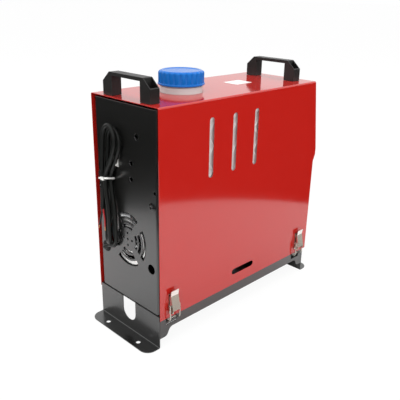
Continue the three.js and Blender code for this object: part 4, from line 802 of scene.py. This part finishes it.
# gloss red powder coat over folded sheet steel: clear mirror images and a faint orange peel
red_coat = finish("gloss red powder coat", "#bb1f18", 0.1, 1.6, 0.003, specular=1.0, shade=0.02, worn=0.015)
COVER_FRONT = -183.0
COVER_REAR = 187.0
COVER_SIDE = 75.0
COVER_LOW = 49.0
COVER_TOP = 369.0
COVER_BEND = 2.5
COVER_SHEET = 1.0
COVER_TALL = COVER_TOP - COVER_LOW
# the rear edge as (x, height above the lower edge): upright, a step out, upright, leaning in
REAR_LINE = [(COVER_REAR, 0.0), (COVER_REAR, 175.0), (192.0, 187.0), (192.0, 199.0), (173.0, COVER_TALL)]
WINDOW_FIRST_X = -82.0
WINDOW_PITCH = 50.0
WINDOW_Z = 298.0
WINDOW_WIDE = 9.5
WINDOW_TALL = 90.0
BREATHER_X = 2.0
BREATHER_Z = 73.0
BREATHER_WIDE = 54.0
BREATHER_TALL = 10.0
NECK_X = -73.0
NECK_HOLE_RADIUS = 32.7
cover_length = 2 * COVER_TALL + 2 * COVER_SIDE - 2 * bend_loss(COVER_BEND)
to_top = COVER_TALL - bend_loss(COVER_BEND) / 2
rear_near = [(x, min(v, to_top)) for x, v in REAR_LINE]
rear_far = [(x, cover_length - v) for x, v in reversed(rear_near)]
cover_outline = [(COVER_FRONT, 0.0)] + rear_near + rear_far + [(COVER_FRONT, cover_length)]
side_slots = [(WINDOW_FIRST_X + WINDOW_PITCH * k, WINDOW_Z, WINDOW_WIDE, WINDOW_TALL) for k in range(3)]
side_slots += [(BREATHER_X, BREATHER_Z, BREATHER_WIDE, BREATHER_TALL)]
cover_holes = []
for x, z, wide, tall in side_slots:
    v = z - COVER_LOW
    cover_holes += [slot_hole(x, v, wide, tall), slot_hole(x, cover_length - v, wide, tall)]
cover_holes += [round_hole(NECK_X, cover_length / 2, NECK_HOLE_RADIUS, 72)]
cover_shell = sheet_shell(
    cover_outline, cover_holes,
    [(-COVER_SIDE, COVER_LOW), (-COVER_SIDE, COVER_TOP), (COVER_SIDE, COVER_TOP), (COVER_SIDE, COVER_LOW)],
    [COVER_BEND, COVER_BEND], COVER_SHEET, along_x,
)
cover = sheet_piece("cover_shell", [cover_shell], red_coat)
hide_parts("cover")

# ---- Front end plate: folded sheet steel, a shallow pan with two flanges and a top lip. Its guard is three
# rings of punched slots and five pin holes round the fan's axis; it also has the screw holes, the cable's
# hole, its twin on the near side and a few small fixing holes.
AXIS_Z = 159.0
PLATE_SIDE = 70.0
PLATE_LOW = 56.0
PLATE_TOP = 364.8
PLATE_BEND = 4.5
PLATE_SHEET = 1.5
PLATE_FLANGE = 20.0
PLATE_EDGE = 0.6
LIP_DEEP = 19.0
LIP_CHAMFER = 4.0
LIP_GAP = 1.6  # between the lip's ends and the flanges
# inner and outer radius of each ring of slots, and half the angle of its slots in degrees
GUARD_RINGS = ((35.5, 43.0, 34.72), (26.5, 32.0, 31.0), (18.5, 23.5, 31.0))
GUARD_CORNER = 1.4
PIN_RADIUS = 1.8
PIN_REACH = 10.0
CABLE_HOLE_RADIUS = 7.5
TIE_HOLE_RADIUS = 2.9
# places and half sizes of holes as (y, z)
SHELF_SCREW = (59.0, 228.0)
SHELF_HOLE_RADIUS = 2.8
DIAMOND = (-26.0, 322.0)
DIAMOND_HALF = (4.4, 5.0)
FIXING_HOLES = ((-13.0, 281.0), (-12.5, 257.0))
FIXING_RADIUS = 3.3
# satin black powder coat over folded sheet steel: a clear sheen with soft mirror images
black_coat = finish(
    "satin black powder coat", "#10100f", 0.28, 1.2, 0.0015, specular=1.0, coat=0.6, shade=0.03, worn=0.0
)


def guard_slot(middle, inner, outer, half):
    """One slot of the guard about its middle angle, as (z, y) points with rounded corners."""
    corner = min(GUARD_CORNER, (outer - inner) * 0.3)
    points = []
    for radius, s, e, sign in ((outer, -half, half, 1), (inner, half, -half, -1)):
        trim = math.degrees(corner / radius)
        rounding = [
            (radius - sign * corner * (1 - math.cos(f)), math.degrees(corner * (1 - math.sin(f)) / radius))
            for f in np.radians([60, 30])
        ]
        points += [(r, s + sign * d) for r, d in rounding]
        points += [(radius, t) for t in np.linspace(s + sign * trim, e - sign * trim, 13)]
        points += [(r, e - sign * d) for r, d in rounding[::-1]]
    r, t = np.array(points).T
    return np.stack([AXIS_Z + r * np.sin(np.radians(middle + t)), r * np.cos(np.radians(middle + t))], 1)


plate_length = 2 * PLATE_FLANGE + 2 * PLATE_SIDE - 2 * bend_loss(PLATE_BEND)
to_middle = plate_length / 2
front_holes = [guard_slot(90 * k, *ring) for ring in GUARD_RINGS for k in range(4)]
pin_spots = [(0.0, 0.0)] + [(math.cos(t), math.sin(t)) for t in np.radians([0, 90, 180, 270])]
front_holes += [round_hole(AXIS_Z + PIN_REACH * z, PIN_REACH * y, PIN_RADIUS, 16) for y, z in pin_spots]
for side in (-1, 1):
    front_holes += [
        round_hole(CABLE_HOLE[1], side * CABLE_HOLE[0], CABLE_HOLE_RADIUS),
        round_hole(SHELF_SCREW[1], side * SHELF_SCREW[0], SHELF_HOLE_RADIUS, 20),
        round_hole(WAIST_Z, side * TIE_HOLE_Y, TIE_HOLE_RADIUS, 20),
    ]
diamond = np.array([[-1, 0], [0, -1], [1, 0], [0, 1]]) * DIAMOND_HALF[::-1] + DIAMOND[::-1]
front_holes += [diamond]
front_holes += [round_hole(z, y, FIXING_RADIUS, 20) for y, z in FIXING_HOLES]
front_holes = [[(z, y + to_middle) for z, y in hole] for hole in front_holes]
front_outline = [(PLATE_LOW, 0.0), (PLATE_TOP, 0.0), (PLATE_TOP, plate_length), (PLATE_LOW, plate_length)]
plate_back = PLATE_FRONT + PLATE_FLANGE
front_line = [
    (plate_back, -PLATE_SIDE), (PLATE_FRONT, -PLATE_SIDE),
    (PLATE_FRONT, PLATE_SIDE), (plate_back, PLATE_SIDE),
]
front_shell = sheet_shell(
    front_outline, front_holes, front_line,
    [PLATE_BEND, PLATE_BEND], PLATE_SHEET, lambda u, a, b: np.stack([a, b, u], 1), edge=PLATE_EDGE,
)
lip_half = PLATE_SIDE - LIP_GAP
lip_outline = [
    (LIP_CHAMFER - lip_half, 0.0), (lip_half - LIP_CHAMFER, 0.0), (lip_half, LIP_CHAMFER),
    (lip_half, LIP_DEEP), (-lip_half, LIP_DEEP), (-lip_half, LIP_CHAMFER),
]
lip_line = [(PLATE_FRONT + 0.8, PLATE_TOP - 0.05), (plate_back - 0.2, PLATE_TOP - 0.05)]
lip_shell = sheet_shell(lip_outline, [], lip_line, [], PLATE_SHEET, along_y)
front_plate = sheet_piece("front_plate", [front_shell, lip_shell], black_coat)
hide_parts("front_end_plate")

# ---- Base tray: folded sheet steel, black like the plates. Floor and skirts are one fold, and an end wall
# at each end runs down and turns out into a foot. The front wall has an arch for the exhaust hose, the
# skirts a notch for each latch's wire.
TRAY_END = 183.0
TRAY_SIDE = 73.0
TRAY_TOP = 55.0
TRAY_SHEET = 1.5
TRAY_BEND = 2.0
SKIRT_LOW = 16.5
NOTCH_X = 158.4
NOTCH_HALF = 11.25
NOTCH_Z = (36.5, 46.0)
PORTS_X = (20.0, -24.0)  # where the exhaust and the burner's air go through the floor
PORT_RADIUS = 12.0
# how a skirt's lower edge runs from an end wall: distance from the wall, and height
GUSSET = [
    (0, SKIRT_LOW), (10, SKIRT_LOW), (12.5, 17.1), (14.6, 18.8), (16.2, 21.4), (17.6, 24.6), (19.4, 27.4),
    (22, 29.3), (25, 30),
]
FOOT_BEND = 1.2
FOOT_OUT = 25.0
FOOT_CORNER = 16.0
FOOT_HOLE_Y = 38.5
FOOT_HOLE_OUT = 13.75  # from the end wall's face
FOOT_HOLE_RADIUS = 3.5
ARCH_RADIUS = 15.5
ARCH_Z = 33.5


def skirt_edge(sign):
    """The lower edge of a skirt between the end walls: it sweeps down to a gusset at each end."""
    half = TRAY_END - TRAY_SHEET - 0.1
    left = [(-half + d, z) for d, z in GUSSET]
    return (left + [(-x, z) for x, z in reversed(left)])[::sign]


floor_length = 2 * TRAY_SIDE + 2 * (TRAY_TOP - SKIRT_LOW) - 2 * bend_loss(TRAY_BEND)
near_edge = [(x, z - SKIRT_LOW) for x, z in skirt_edge(1)]
far_edge = [(x, floor_length - (z - SKIRT_LOW)) for x, z in skirt_edge(-1)]
notch_near = [z - SKIRT_LOW for z in NOTCH_Z]
notch_far = [floor_length - v for v in notch_near[::-1]]
tray_holes = []
for x in (-NOTCH_X, NOTCH_X):
    for low, high in (notch_near, notch_far):
        tray_holes.append(
            [(x - NOTCH_HALF, low), (x + NOTCH_HALF, low), (x + NOTCH_HALF, high), (x - NOTCH_HALF, high)]
        )
tray_holes += [round_hole(x, floor_length / 2, PORT_RADIUS) for x in PORTS_X]
channel = sheet_shell(
    near_edge + far_edge, tray_holes,
    [(-TRAY_SIDE, SKIRT_LOW), (-TRAY_SIDE, TRAY_TOP), (TRAY_SIDE, TRAY_TOP), (TRAY_SIDE, SKIRT_LOW)],
    [TRAY_BEND, TRAY_BEND], TRAY_SHEET, along_x,
)
wall_length = (TRAY_TOP - TRAY_SHEET) + FOOT_OUT - bend_loss(FOOT_BEND)


def end_wall(arch):
    """End wall and foot for the -X end; the blank runs from the foot's tip up to the wall's top."""
    corner = TRAY_SIDE - FOOT_CORNER
    outline = arc(-corner, FOOT_CORNER, FOOT_CORNER, 180, 270, 13).tolist()
    outline += arc(corner, FOOT_CORNER, FOOT_CORNER, 270, 360, 13).tolist()
    outline += [(TRAY_SIDE, wall_length)]
    if arch:
        outline += [(ARCH_RADIUS, wall_length)]
        outline += arc(0, wall_length - (TRAY_TOP - ARCH_Z), ARCH_RADIUS, 0, -180, 19).tolist()
        outline += [(-ARCH_RADIUS, wall_length)]
    outline += [(-TRAY_SIDE, wall_length)]
    holes = [round_hole(side * FOOT_HOLE_Y, FOOT_OUT - FOOT_HOLE_OUT, FOOT_HOLE_RADIUS) for side in (-1, 1)]
    corners = [(-TRAY_END - FOOT_OUT, TRAY_SHEET), (-TRAY_END, TRAY_SHEET), (-TRAY_END, TRAY_TOP)]
    return sheet_shell(outline, holes, corners, [FOOT_BEND], TRAY_SHEET, along_y)


def mirrored(shell, signs):
    """A sheet turned to the other side by a sign for each of X, Y and Z."""
    return shell[0] * signs, shell[1] * signs, shell[2]


rear_wall = mirrored(end_wall(False), [-1, 1, 1])
tray = sheet_piece("tray_shell", [channel, end_wall(True), rear_wall], black_coat)
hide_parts("base_tray")


# ---- Rear end plate: folded sheet steel, black like the front one. It follows the cover's rear edge,
# upright, a step out and a leaning panel, with a round hole for the warm air and an opening for the
# controller.
REAR_LEAN = 19.0 / 121.0  # how far it leans in for each millimetre up
REAR_FACE = 183.0
REAR_STEP = 186.0
REAR_LEAN_Z = 248.0
REAR_STEP_Z = (237.0, 226.0)
REAR_HALF = 68.4
REAR_BENDS = [4.0, 3.0, 3.0]
OUTLET_RADIUS = 37.8
PANEL_Z = 306.0
PANEL_HALF = (46.5, 25.5)
REAR_SCREW_Z = 215.0
rear_corners = [
    (REAR_STEP - (PLATE_TOP - REAR_LEAN_Z) * REAR_LEAN, PLATE_TOP), (REAR_STEP, REAR_LEAN_Z),
    (REAR_STEP, REAR_STEP_Z[0]), (REAR_FACE, REAR_STEP_Z[1]), (REAR_FACE, PLATE_LOW),
]
rear_length = fold_path(rear_corners, REAR_BENDS)[0][-1]
panel_v = (PLATE_TOP - PANEL_Z) / math.cos(math.atan(REAR_LEAN))
square = ((-1, -1), (1, -1), (1, 1), (-1, 1))
rear_outline = [(-REAR_HALF, 0.0), (REAR_HALF, 0.0), (REAR_HALF, rear_length), (-REAR_HALF, rear_length)]
rear_holes = [
    round_hole(0, rear_length - (AXIS_Z - PLATE_LOW), OUTLET_RADIUS, 72),
    [(PANEL_HALF[0] * y, panel_v + PANEL_HALF[1] * v) for y, v in square],
]
rear_holes += [
    round_hole(side * SHELF_SCREW[0], rear_length - (REAR_SCREW_Z - PLATE_LOW), SHELF_HOLE_RADIUS, 20)
    for side in (-1, 1)
]
rear_shell = sheet_shell(rear_outline, rear_holes, rear_corners, REAR_BENDS, PLATE_SHEET, along_y)
wing_front = [(x - PLATE_FLANGE, z - PLATE_LOW) for x, z in rear_corners]
wing_rear = [(x, z - PLATE_LOW) for x, z in rear_corners]
wing_line = [(-PLATE_SIDE, PLATE_LOW), (-PLATE_SIDE, PLATE_TOP)]
wing = sheet_shell(wing_front + wing_rear[::-1], [], wing_line, [], PLATE_SHEET, along_x)
rear_plate = sheet_piece("rear_plate", [rear_shell, wing, mirrored(wing, [1, -1, 1])], black_coat)
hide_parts("rear_end_plate")


# ---- Pieces that keep their solid's shape: what the case holds inside, the warm air outlet, the control
# panel and the latches' plates and wires. Their facets are joined, their edges rounded, and each gets the
# finish of what it is made of.
def soften(piece, edge=0.3, segments=2):
    """Join the flat faces of a piece and round its sharp edges."""
    piece.data.polygons.foreach_set("use_smooth", np.ones(len(piece.data.polygons), bool))
    weld = piece.modifiers.new("weld", "WELD")
    weld.merge_threshold = 0.005 * MM
    join = piece.modifiers.new("join", "DECIMATE")
    join.decimate_type = "DISSOLVE"
    join.angle_limit = math.radians(0.5)
    if edge:
        bevel = piece.modifiers.new("edge", "BEVEL")
        bevel.width = edge * MM
        bevel.segments = segments
        bevel.limit_method = "ANGLE"
        bevel.angle_limit = math.radians(38)
        bevel.harden_normals = False
    sharp = piece.modifiers.new("normals", "WEIGHTED_NORMAL")
    sharp.keep_sharp = True
    sharp.weight = 80


def dress(name, material, edge=0.3, segments=2):
    """Give a CAD piece a material and soften it."""
    piece = nodes[name]
    piece.data.materials.clear()
    piece.data.materials.append(material)
    soften(piece, edge, segments)


# polished stainless strip: a bright, slightly warm mirror with brushed patches
stainless = finish(
    "polished stainless strip", "#c9c5bb", 0.2, 0.35, 0.004, metallic=1.0, shade=0.04, worn=0.06
)
# zinc-plated sheet steel: a cool grey metal with a dull gloss
zinc = finish("bright zinc plate", "#a6a8aa", 0.33, 0.6, 0.012, metallic=1.0, shade=0.06, worn=0.08)
# aluminium as it comes out of the sand: pale and rough
cast = finish("sand-cast aluminium", "#a9abad", 0.5, 0.7, 0.05, metallic=1.0, shade=0.08)
# rolled aluminium sheet: bright, with soft mirror images
bright = finish("bright rolled aluminium", "#d6d7d8", 0.22, 0.4, 0.006, metallic=1.0, shade=0.03)
# moulded nylon with glass fibre: dark grey and dull
grey_plastic = finish("grey glass-filled nylon", "#4a4c4e", 0.5, 0.5, 0.02, shade=0.06)
# smoked acrylic over the unlit display: nearly black, with a hard gloss
lens_acrylic = finish(
    "smoked display lens", "#0c1613", 0.06, 2.0, 0.0005, specular=0.8, shade=0.02, worn=0.01
)
# blow-moulded polyethylene without a pigment: milky white and waxy
milky = finish("natural hdpe", "#dcd8d6", 0.36, 0.8, 0.012, shade=0.03)

for name, material, edge in (
    ("tank_shelf", zinc, 0.3), ("cap_liner", rubber, 0.2), ("heater_bracket", zinc, 0.4),
    ("core_gasket", rubber, 0.2),
    ("heater_case_lower", grey_plastic, 0.4), ("heater_case_upper", grey_plastic, 0.4),
    ("motor_housing", zinc, 0.3), ("motor_shaft", stainless, 0.3), ("fan_wheel", bright, 0.25),
    ("blower_wheel", cast, 0.2), ("burner", stainless, 0.2), ("glow_plug", stainless, 0.3),
    ("heat_exchanger", cast, 0.4), ("exhaust_pipe", stainless, 0.3), ("air_pipe", grey_plastic, 0.3),
    ("outlet_hood", grey_plastic, 0.4), ("outlet_collar", black_nylon, 0.5),
    ("outlet_vent", black_nylon, 0.4), ("control_unit", grey_plastic, 1.0), ("fuel_pump", zinc, 0.6),
    ("pump_saddle", rubber, 0.8), ("fuel_filter", milky, 0.5), ("control_panel", black_nylon, 0.6),
    ("display_lens", lens_acrylic, 0.4),
):
    dress(name, material, edge)
for k in range(4):
    dress(f"button_{k + 1}", grey_plastic, 0.8, 3)
LATCHES = ("front_near", "rear_near", "front_far", "rear_far")
for end in LATCHES:
    dress(f"latch_base_{end}", stainless, 0.2)
    dress(f"latch_bail_{end}", stainless, 0.0)


# ---- Fuel tank: a blow-moulded tank in milky polyethylene that shows through the windows. Its sides have
# raised diagonal ribs. The neck comes up through the cover and has a collar below the cap.
TANK_LOW = 236.3
TANK_TOP = 352.0
TANK_HALF = (148.0, 72.0)
TANK_CORNER = 14.0
TANK_FILLET = 8.0
TANK_ROWS = 90
TANK_PITCH = 1.2
RIBS = ((0.9, 34.0), (-0.75, 27.0))  # slope and spacing of the two sets of ribs
RIB_HALF = 0.9
RIB_FLANK = 1.5
RIB_HIGH = 1.6
RIBBED_Z = (252.0, 340.0)
RIBBED_X = 128.0
RIB_FADE = 6.0
SPOUT = (-30.0, TANK_LOW + 9.0)


def rounded_outline(half_x, half_y, corner, pitch):
    """Points of a rounded rectangle, its straight sides divided to a pitch."""
    out = []
    nx, ny = (max(int(2 * (h - corner) / pitch), 1) for h in (half_x, half_y))
    for cx, cy, start, n in (
        (half_x - corner, half_y - corner, 0, nx), (-half_x + corner, half_y - corner, 90, ny),
        (-half_x + corner, -half_y + corner, 180, nx), (half_x - corner, -half_y + corner, 270, ny),
    ):
        turn = arc(cx, cy, corner, start, start + 90, 7)
        ahead = np.array([-math.sin(math.radians(start + 90)), math.cos(math.radians(start + 90))])
        run = 2 * (half_x - corner) if start in (0, 180) else 2 * (half_y - corner)
        between = turn[-1] + np.outer(np.arange(1, n) / n * run, ahead)
        out += [turn, between]
    return np.vstack(out)


# rows of the tank as (height, inset): a rounded edge, the straight side and a rounded edge
fillet = [
    (TANK_FILLET * (1 - math.sin(f)), TANK_FILLET * (1 - math.cos(f)))
    for f in np.radians(np.linspace(0, 90, 6))
]
tank_rows = [(TANK_LOW + rise, inset) for rise, inset in fillet[::-1]]
tank_rows += [(z, 0.0) for z in np.linspace(TANK_LOW + TANK_FILLET, TANK_TOP - TANK_FILLET, TANK_ROWS)[1:-1]]
tank_rows += [(TANK_TOP - rise, inset) for rise, inset in fillet]
# Each set of ribs is a row of slanting lines in x and z. The side sinks by the ribs' height wherever the
# nearest line is further away than half a rib, over a soft flank, and fades to flat round the ribbed field.
tank_points = []
for z, inset in tank_rows:
    flat = rounded_outline(TANK_HALF[0] - inset, TANK_HALF[1] - inset, TANK_CORNER - inset, TANK_PITCH)
    away = [np.abs((flat[:, 0] + slope * z + 500) % pitch - pitch / 2) for slope, pitch in RIBS]
    rib = 1 - smoothstep((np.minimum(*away) - RIB_HALF) / RIB_FLANK)
    fade = smoothstep((z - RIBBED_Z[0]) / RIB_FADE) * smoothstep((RIBBED_Z[1] - z) / RIB_FADE)
    fade = fade * smoothstep((RIBBED_X - np.abs(flat[:, 0])) / RIB_FADE)
    on_side = np.abs(flat[:, 1]) > TANK_HALF[1] - inset - 0.01
    flat[:, 1] -= np.sign(flat[:, 1]) * np.where(on_side, RIB_HIGH * fade * (1 - rib), 0)
    tank_points.append(np.column_stack([flat, np.full(len(flat), z)]))
across = len(tank_points[0])
tank_points = np.vstack(tank_points)
tank_faces = grid_faces(len(tank_rows), across).tolist()
tank_faces += [list(range(across)), list(range(len(tank_points) - across, len(tank_points)))]
tank = mesh_piece("tank_shell", tank_points, tank_faces, milky, smooth=50)
neck = turned(
    "tank_neck",
    [[27, 351], [33.5, 351], [33.2, 353.5], [32.0, 355], [32.0, 377.2], [31.6, 377.8], [30.4, 378],
     [30.4, 394.9], [29.8, 395.5], [27.6, 395.5], [27, 394.9]],
    (NECK_X, 0), milky, axis="z", sides=96,
)
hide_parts("fuel_tank")
spout = turned(
    "tank_spout", [[0, 147], [3.2, 147], [3.2, 156], [2.8, 157], [1.6, 157], [1.6, 149], [0, 149]],
    SPOUT, milky, sides=20,
)

# ---- Filler cap: moulded blue polypropylene with 24 flutes round the grip, a rounded rim below and a
# shallow dished top inside a raised edge. It screws onto the neck.
CAP_LOW = 379.5
CAP_TOP = 400.5
CAP_FLUTES = 24
FLUTE_STEPS = 12
FLUTE_DEEP = 1.9
FLUTE_SHARP = 2.2
# moulded polypropylene: a clear blue with a soft gloss
blue_pp = finish("blue polypropylene", "#006bc4", 0.22, 0.6, 0.004, specular=0.32, shade=0.03)
# radius, height and share of the flutes' depth, from the underside of the top round to its middle
cap_rows = [
    (0, 397.4, 0), (31.5, 397.4, 0), (32.3, 396.6, 0), (32.3, CAP_LOW, 0), (34.3, CAP_LOW, 0),
    (35.0, 379.9, 0), (35.2, 380.7, 0), (35.1, 381.7, 0), (34.6, 382.4, 0), (34.3, 382.8, 0.7),
    (34.3, 383.6, 1), (34.3, 397.0, 1), (34.1, 397.9, 0.9), (33.4, 398.7, 0.6), (32.2, 399.5, 0.25),
    (30.9, 400.2, 0.05), (29.6, CAP_TOP, 0), (27.5, CAP_TOP, 0), (26.7, 400.2, 0), (26.0, 399.7, 0),
    (24, 399.6, 0), (0, 399.6, 0),
]
# The flutes take their depth off the radius where a raised cosine of the turn, to a power, is near one.
cap_turns = np.arange(CAP_FLUTES * FLUTE_STEPS) * 2 * np.pi / (CAP_FLUTES * FLUTE_STEPS)
flute = (0.5 + 0.5 * np.cos(CAP_FLUTES * cap_turns)) ** FLUTE_SHARP
r, z, depth = np.repeat(np.array(cap_rows, float).T[:, :, None], len(cap_turns), 2)
reach = np.maximum(r - FLUTE_DEEP * depth * flute, 0)
cap_points = np.stack([NECK_X + reach * np.cos(cap_turns), reach * np.sin(cap_turns), z], -1)
cap_faces = grid_faces(len(cap_rows), len(cap_turns))
cap = mesh_piece("cap_shell", cap_points.reshape(-1, 3), cap_faces, blue_pp, body="cap", smooth=50)
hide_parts("filler_cap")

# ---- Sticker on the cover's top: a label of thin white vinyl with rounded corners, stuck down flat behind
# the cap. The label is plain.
STICKER_MIDDLE = (56.5, 1.5)
STICKER_HALF = (19.5, 15.5)
STICKER_CORNER = 3.0
STICKER_Z = (COVER_TOP + 0.02, COVER_TOP + 0.3)
# cut vinyl film: white and smooth, with a soft gloss
vinyl = finish("white vinyl film", "#f1f0ee", 0.3, 1.0, 0.004, shade=0.015)
sticker_outline = rounded_outline(*STICKER_HALF, STICKER_CORNER, 50) + STICKER_MIDDLE
around = len(sticker_outline)
sticker_points = np.column_stack([np.tile(sticker_outline, (2, 1)), np.repeat(STICKER_Z, around)])
sticker_faces = grid_faces(2, around).tolist() + [list(range(around)), list(range(around, 2 * around))]
sticker = mesh_piece("blank_sticker", sticker_points, sticker_faces, vinyl)
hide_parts("info_label")

# ---- Carrying handles: two bows of moulded black polyamide across the top, front and rear. Each is screwed
# to the cover from inside its two hollow feet.
for name in ("handle_front", "handle_rear"):
    dress(name, black_nylon, 0.6, 3)

# ---- Latch levers: folded stainless channels that turn on the pins of their plates. The finger lip at the
# top flares outwards. The lip and the heel carry a painted highlight, a paler copy of the steel.
LIP_LOW = 87.0
LIP_FLARE = 0.42  # how far the lip goes out for each millimetre up
# the painted highlight on the heel reaches up to this height
HEEL_TOP = 63.0
# rolled stainless strip: a warm grey with a soft gloss
lever_steel = finish(
    "rolled stainless strip", "#a8a498", 0.24, 0.35, 0.004, metallic=1.0, shade=0.04, worn=0.06
)
# painted highlight for the lip and the heel: a paler, brighter copy of the rolled stainless strip
lever_painted_highlight = finish("stainless strip painted highlight", "#f2f0ea", 0.3, 0.35, 0.004, metallic=1.0, shade=0.03)
# Above the lip's foot each point of the solid's lever moves outwards in proportion to its height.
for end in LATCHES:
    lever = nodes[f"latch_lever_{end}"]
    spots = np.empty(len(lever.data.vertices) * 3)
    lever.data.vertices.foreach_get("co", spots)
    turn = np.array(lever.matrix_world)
    spots = (spots.reshape(-1, 3) @ turn[:3, :3].T + turn[:3, 3]) / MM
    spots[:, 1] += (-1 if "near" in end else 1) * LIP_FLARE * np.maximum(spots[:, 2] - LIP_LOW, 0)
    faces = [list(face.vertices) for face in lever.data.polygons]
    shape = mesh_piece(f"lever_{end}_strip", spots, faces, lever_steel, body=f"lever_{end}")
    heights = np.array([face.center[2] for face in shape.data.polygons]) / MM
    # the paler steel in a second slot is a painted highlight, given to faces above the lip's foot and below
    # HEEL_TOP
    shape.data.materials.append(lever_painted_highlight)
    painted_highlight_faces = (heights > LIP_LOW) | (heights < HEEL_TOP)
    shape.data.polygons.foreach_set("material_index", painted_highlight_faces.astype(np.int32))
    soften(shape, 0.3)
    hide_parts(f"latch_lever_{end}")

# ---- Hoses: the tank's feed to the pump, the pump's outlet and the burner's feed. They are soft black fuel
# hose, pushed onto the spouts and led along the case's rear and floor.
HOSE_RADIUS = 3.0
# extruded rubber: dull and nearly black
hose_rubber = finish("black fuel hose", "#202021", 0.55, 0.4, 0.01, shade=0.06)
hose_ways = {
    "hose_tank": [
        (157.3, -30, 245.3), (162, -30, 245.3), (167.5, -30, 241.3), (168.5, -30, 231.3),
        (168.5, -44, 200), (168.5, -49, 160), (168.5, -46, 116), (160.5, -40, 84), (132, -34, 65.5),
        (118, -34, 64.5), (108.3, -34, 64.5),
    ],
    "hose_pump": [(45.7, -34, 64.5), (39.7, -34, 64.5), (26.3, -34, 74), (20.3, -34, 74)],
    "hose_burner": [
        (-56.3, -34, 74), (-60.3, -34, 74), (-72, -32, 78), (-77, -30, 88), (-77, -30, 105),
        (-77, -30, 123.6),
    ],
}
for name, way in hose_ways.items():
    hose = swept(name + "_tube", through(np.array(way, float), 6), circle(HOSE_RADIUS, 16), hose_rubber)
    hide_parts(name)

# ---- Fan shroud rings: two flat rings of polished steel joined by cornerwise straps, pressed against the
# plate behind the guard's slots. The rings sit a little low, so they show brightest in the lower slots.
RING_BACK = PLATE_FRONT + 3.6
RING_SHEET = 0.8
STRAP_REACH = [19.0, 47.0]
STRAP_SECTION = [[-0.5, -3], [0.5, -3], [0.5, 3], [-0.5, 3]]
# polished steel strip: a pale mirror behind the dark plate
polished = finish("polished steel strip", "#f0f0ee", 0.3, 0.3, 0.003, metallic=1.0, shade=0.02, worn=0.02)
for name, inner, outer, low in (("outer", 28.8, 38.0, 3.6), ("inner", 18.5, 23.0, 2.0)):
    washer = [[inner, -RING_SHEET], [outer, -RING_SHEET], [outer, 0], [inner, 0]]
    washer = np.array(washer) + [0, RING_BACK]
    ring = turned(f"shroud_ring_{name}", washer, (0, AXIS_Z - low), polished, sides=96, smooth=30)
for k in range(4):
    turn = math.radians(45 + 90 * k)
    reach = np.outer(STRAP_REACH, [0, math.cos(turn), math.sin(turn)])
    strap = np.array([RING_BACK + 0.5, 0, AXIS_Z]) + reach
    swept(f"shroud_strap_{k + 1}", strap, STRAP_SECTION, polished)

# ---- Flanged screws that hold the tank's shelf to the front plate: black zinc-plated steel, each with a
# washer face, a domed head and a driver's recess.
screw_profile = [
    [0, -1.9], [1.2, -1.9], [1.5, -3.3], [2.4, -3.5], [3.3, -3.1], [3.9, -2.2], [4.0, -1.3], [6.1, -1.1],
    [6.4, -0.7], [6.4, -SEAT], [2.4, -SEAT], [2.4, 8], [0, 8],
]
screw_profile = np.array(screw_profile) + [0, PLATE_FRONT]
# black zinc plate: nearly black, with small sharp highlights
screw_black = finish("black zinc", "#0a0a0b", 0.2, 0.4, 0.004, specular=0.6, coat=0.2, shade=0.04)
for side, name in ((1, "left"), (-1, "right")):
    spot = (side * SHELF_SCREW[0], SHELF_SCREW[1])
    screw = turned(f"shelf_screw_{name}", screw_profile, spot, screw_black, sides=40)
    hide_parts(f"screw_front_{name}")

# ---- Dark strips behind the tray's four latch notches: pieces of black coated sheet under the tray's
# floor, set there as painted shade that keeps the notches dark.
STRIP_HALF = np.array([18.0, 0.6])
STRIP_Y = 66.0
STRIP_Z = (32.0, 53.45)
for end, end_name in ((-1, "front"), (1, "rear")):
    for side, side_name in ((-1, "near"), (1, "far")):
        middle = np.array([end * NOTCH_X, side * STRIP_Y])
        low, high = [*(middle - STRIP_HALF), STRIP_Z[0]], [*(middle + STRIP_HALF), STRIP_Z[1]]
        # a black sheet close behind each notch: painted shade
        strip = rounded_block(f"notch_strip_{end_name}_{side_name}", low, high, 0.3, black_coat)

# ---- Cable clip: a small piece of moulded white nylon that holds the upper strands to the plate. It has a
# foot on the plate, a prong beside the strands and another inside the loops.
for name, low, high in (
    ("cable_clip_prong", [TIE_BACK - 5.2, 15.6, 271.5], [TIE_BACK - 0.1, 17.2, 284.0]),
    ("cable_clip_foot", [TIE_BACK - 0.9, 15.4, 269.0], [TIE_BACK - 0.05, 20.0, 286.0]),
    ("cable_clip_inner", [TIE_BACK - 2.6, 29.6, 275.0], [TIE_BACK - 0.1, 30.9, 282.0]),
):
    rounded_block(name, low, high, 0.35, nylon)
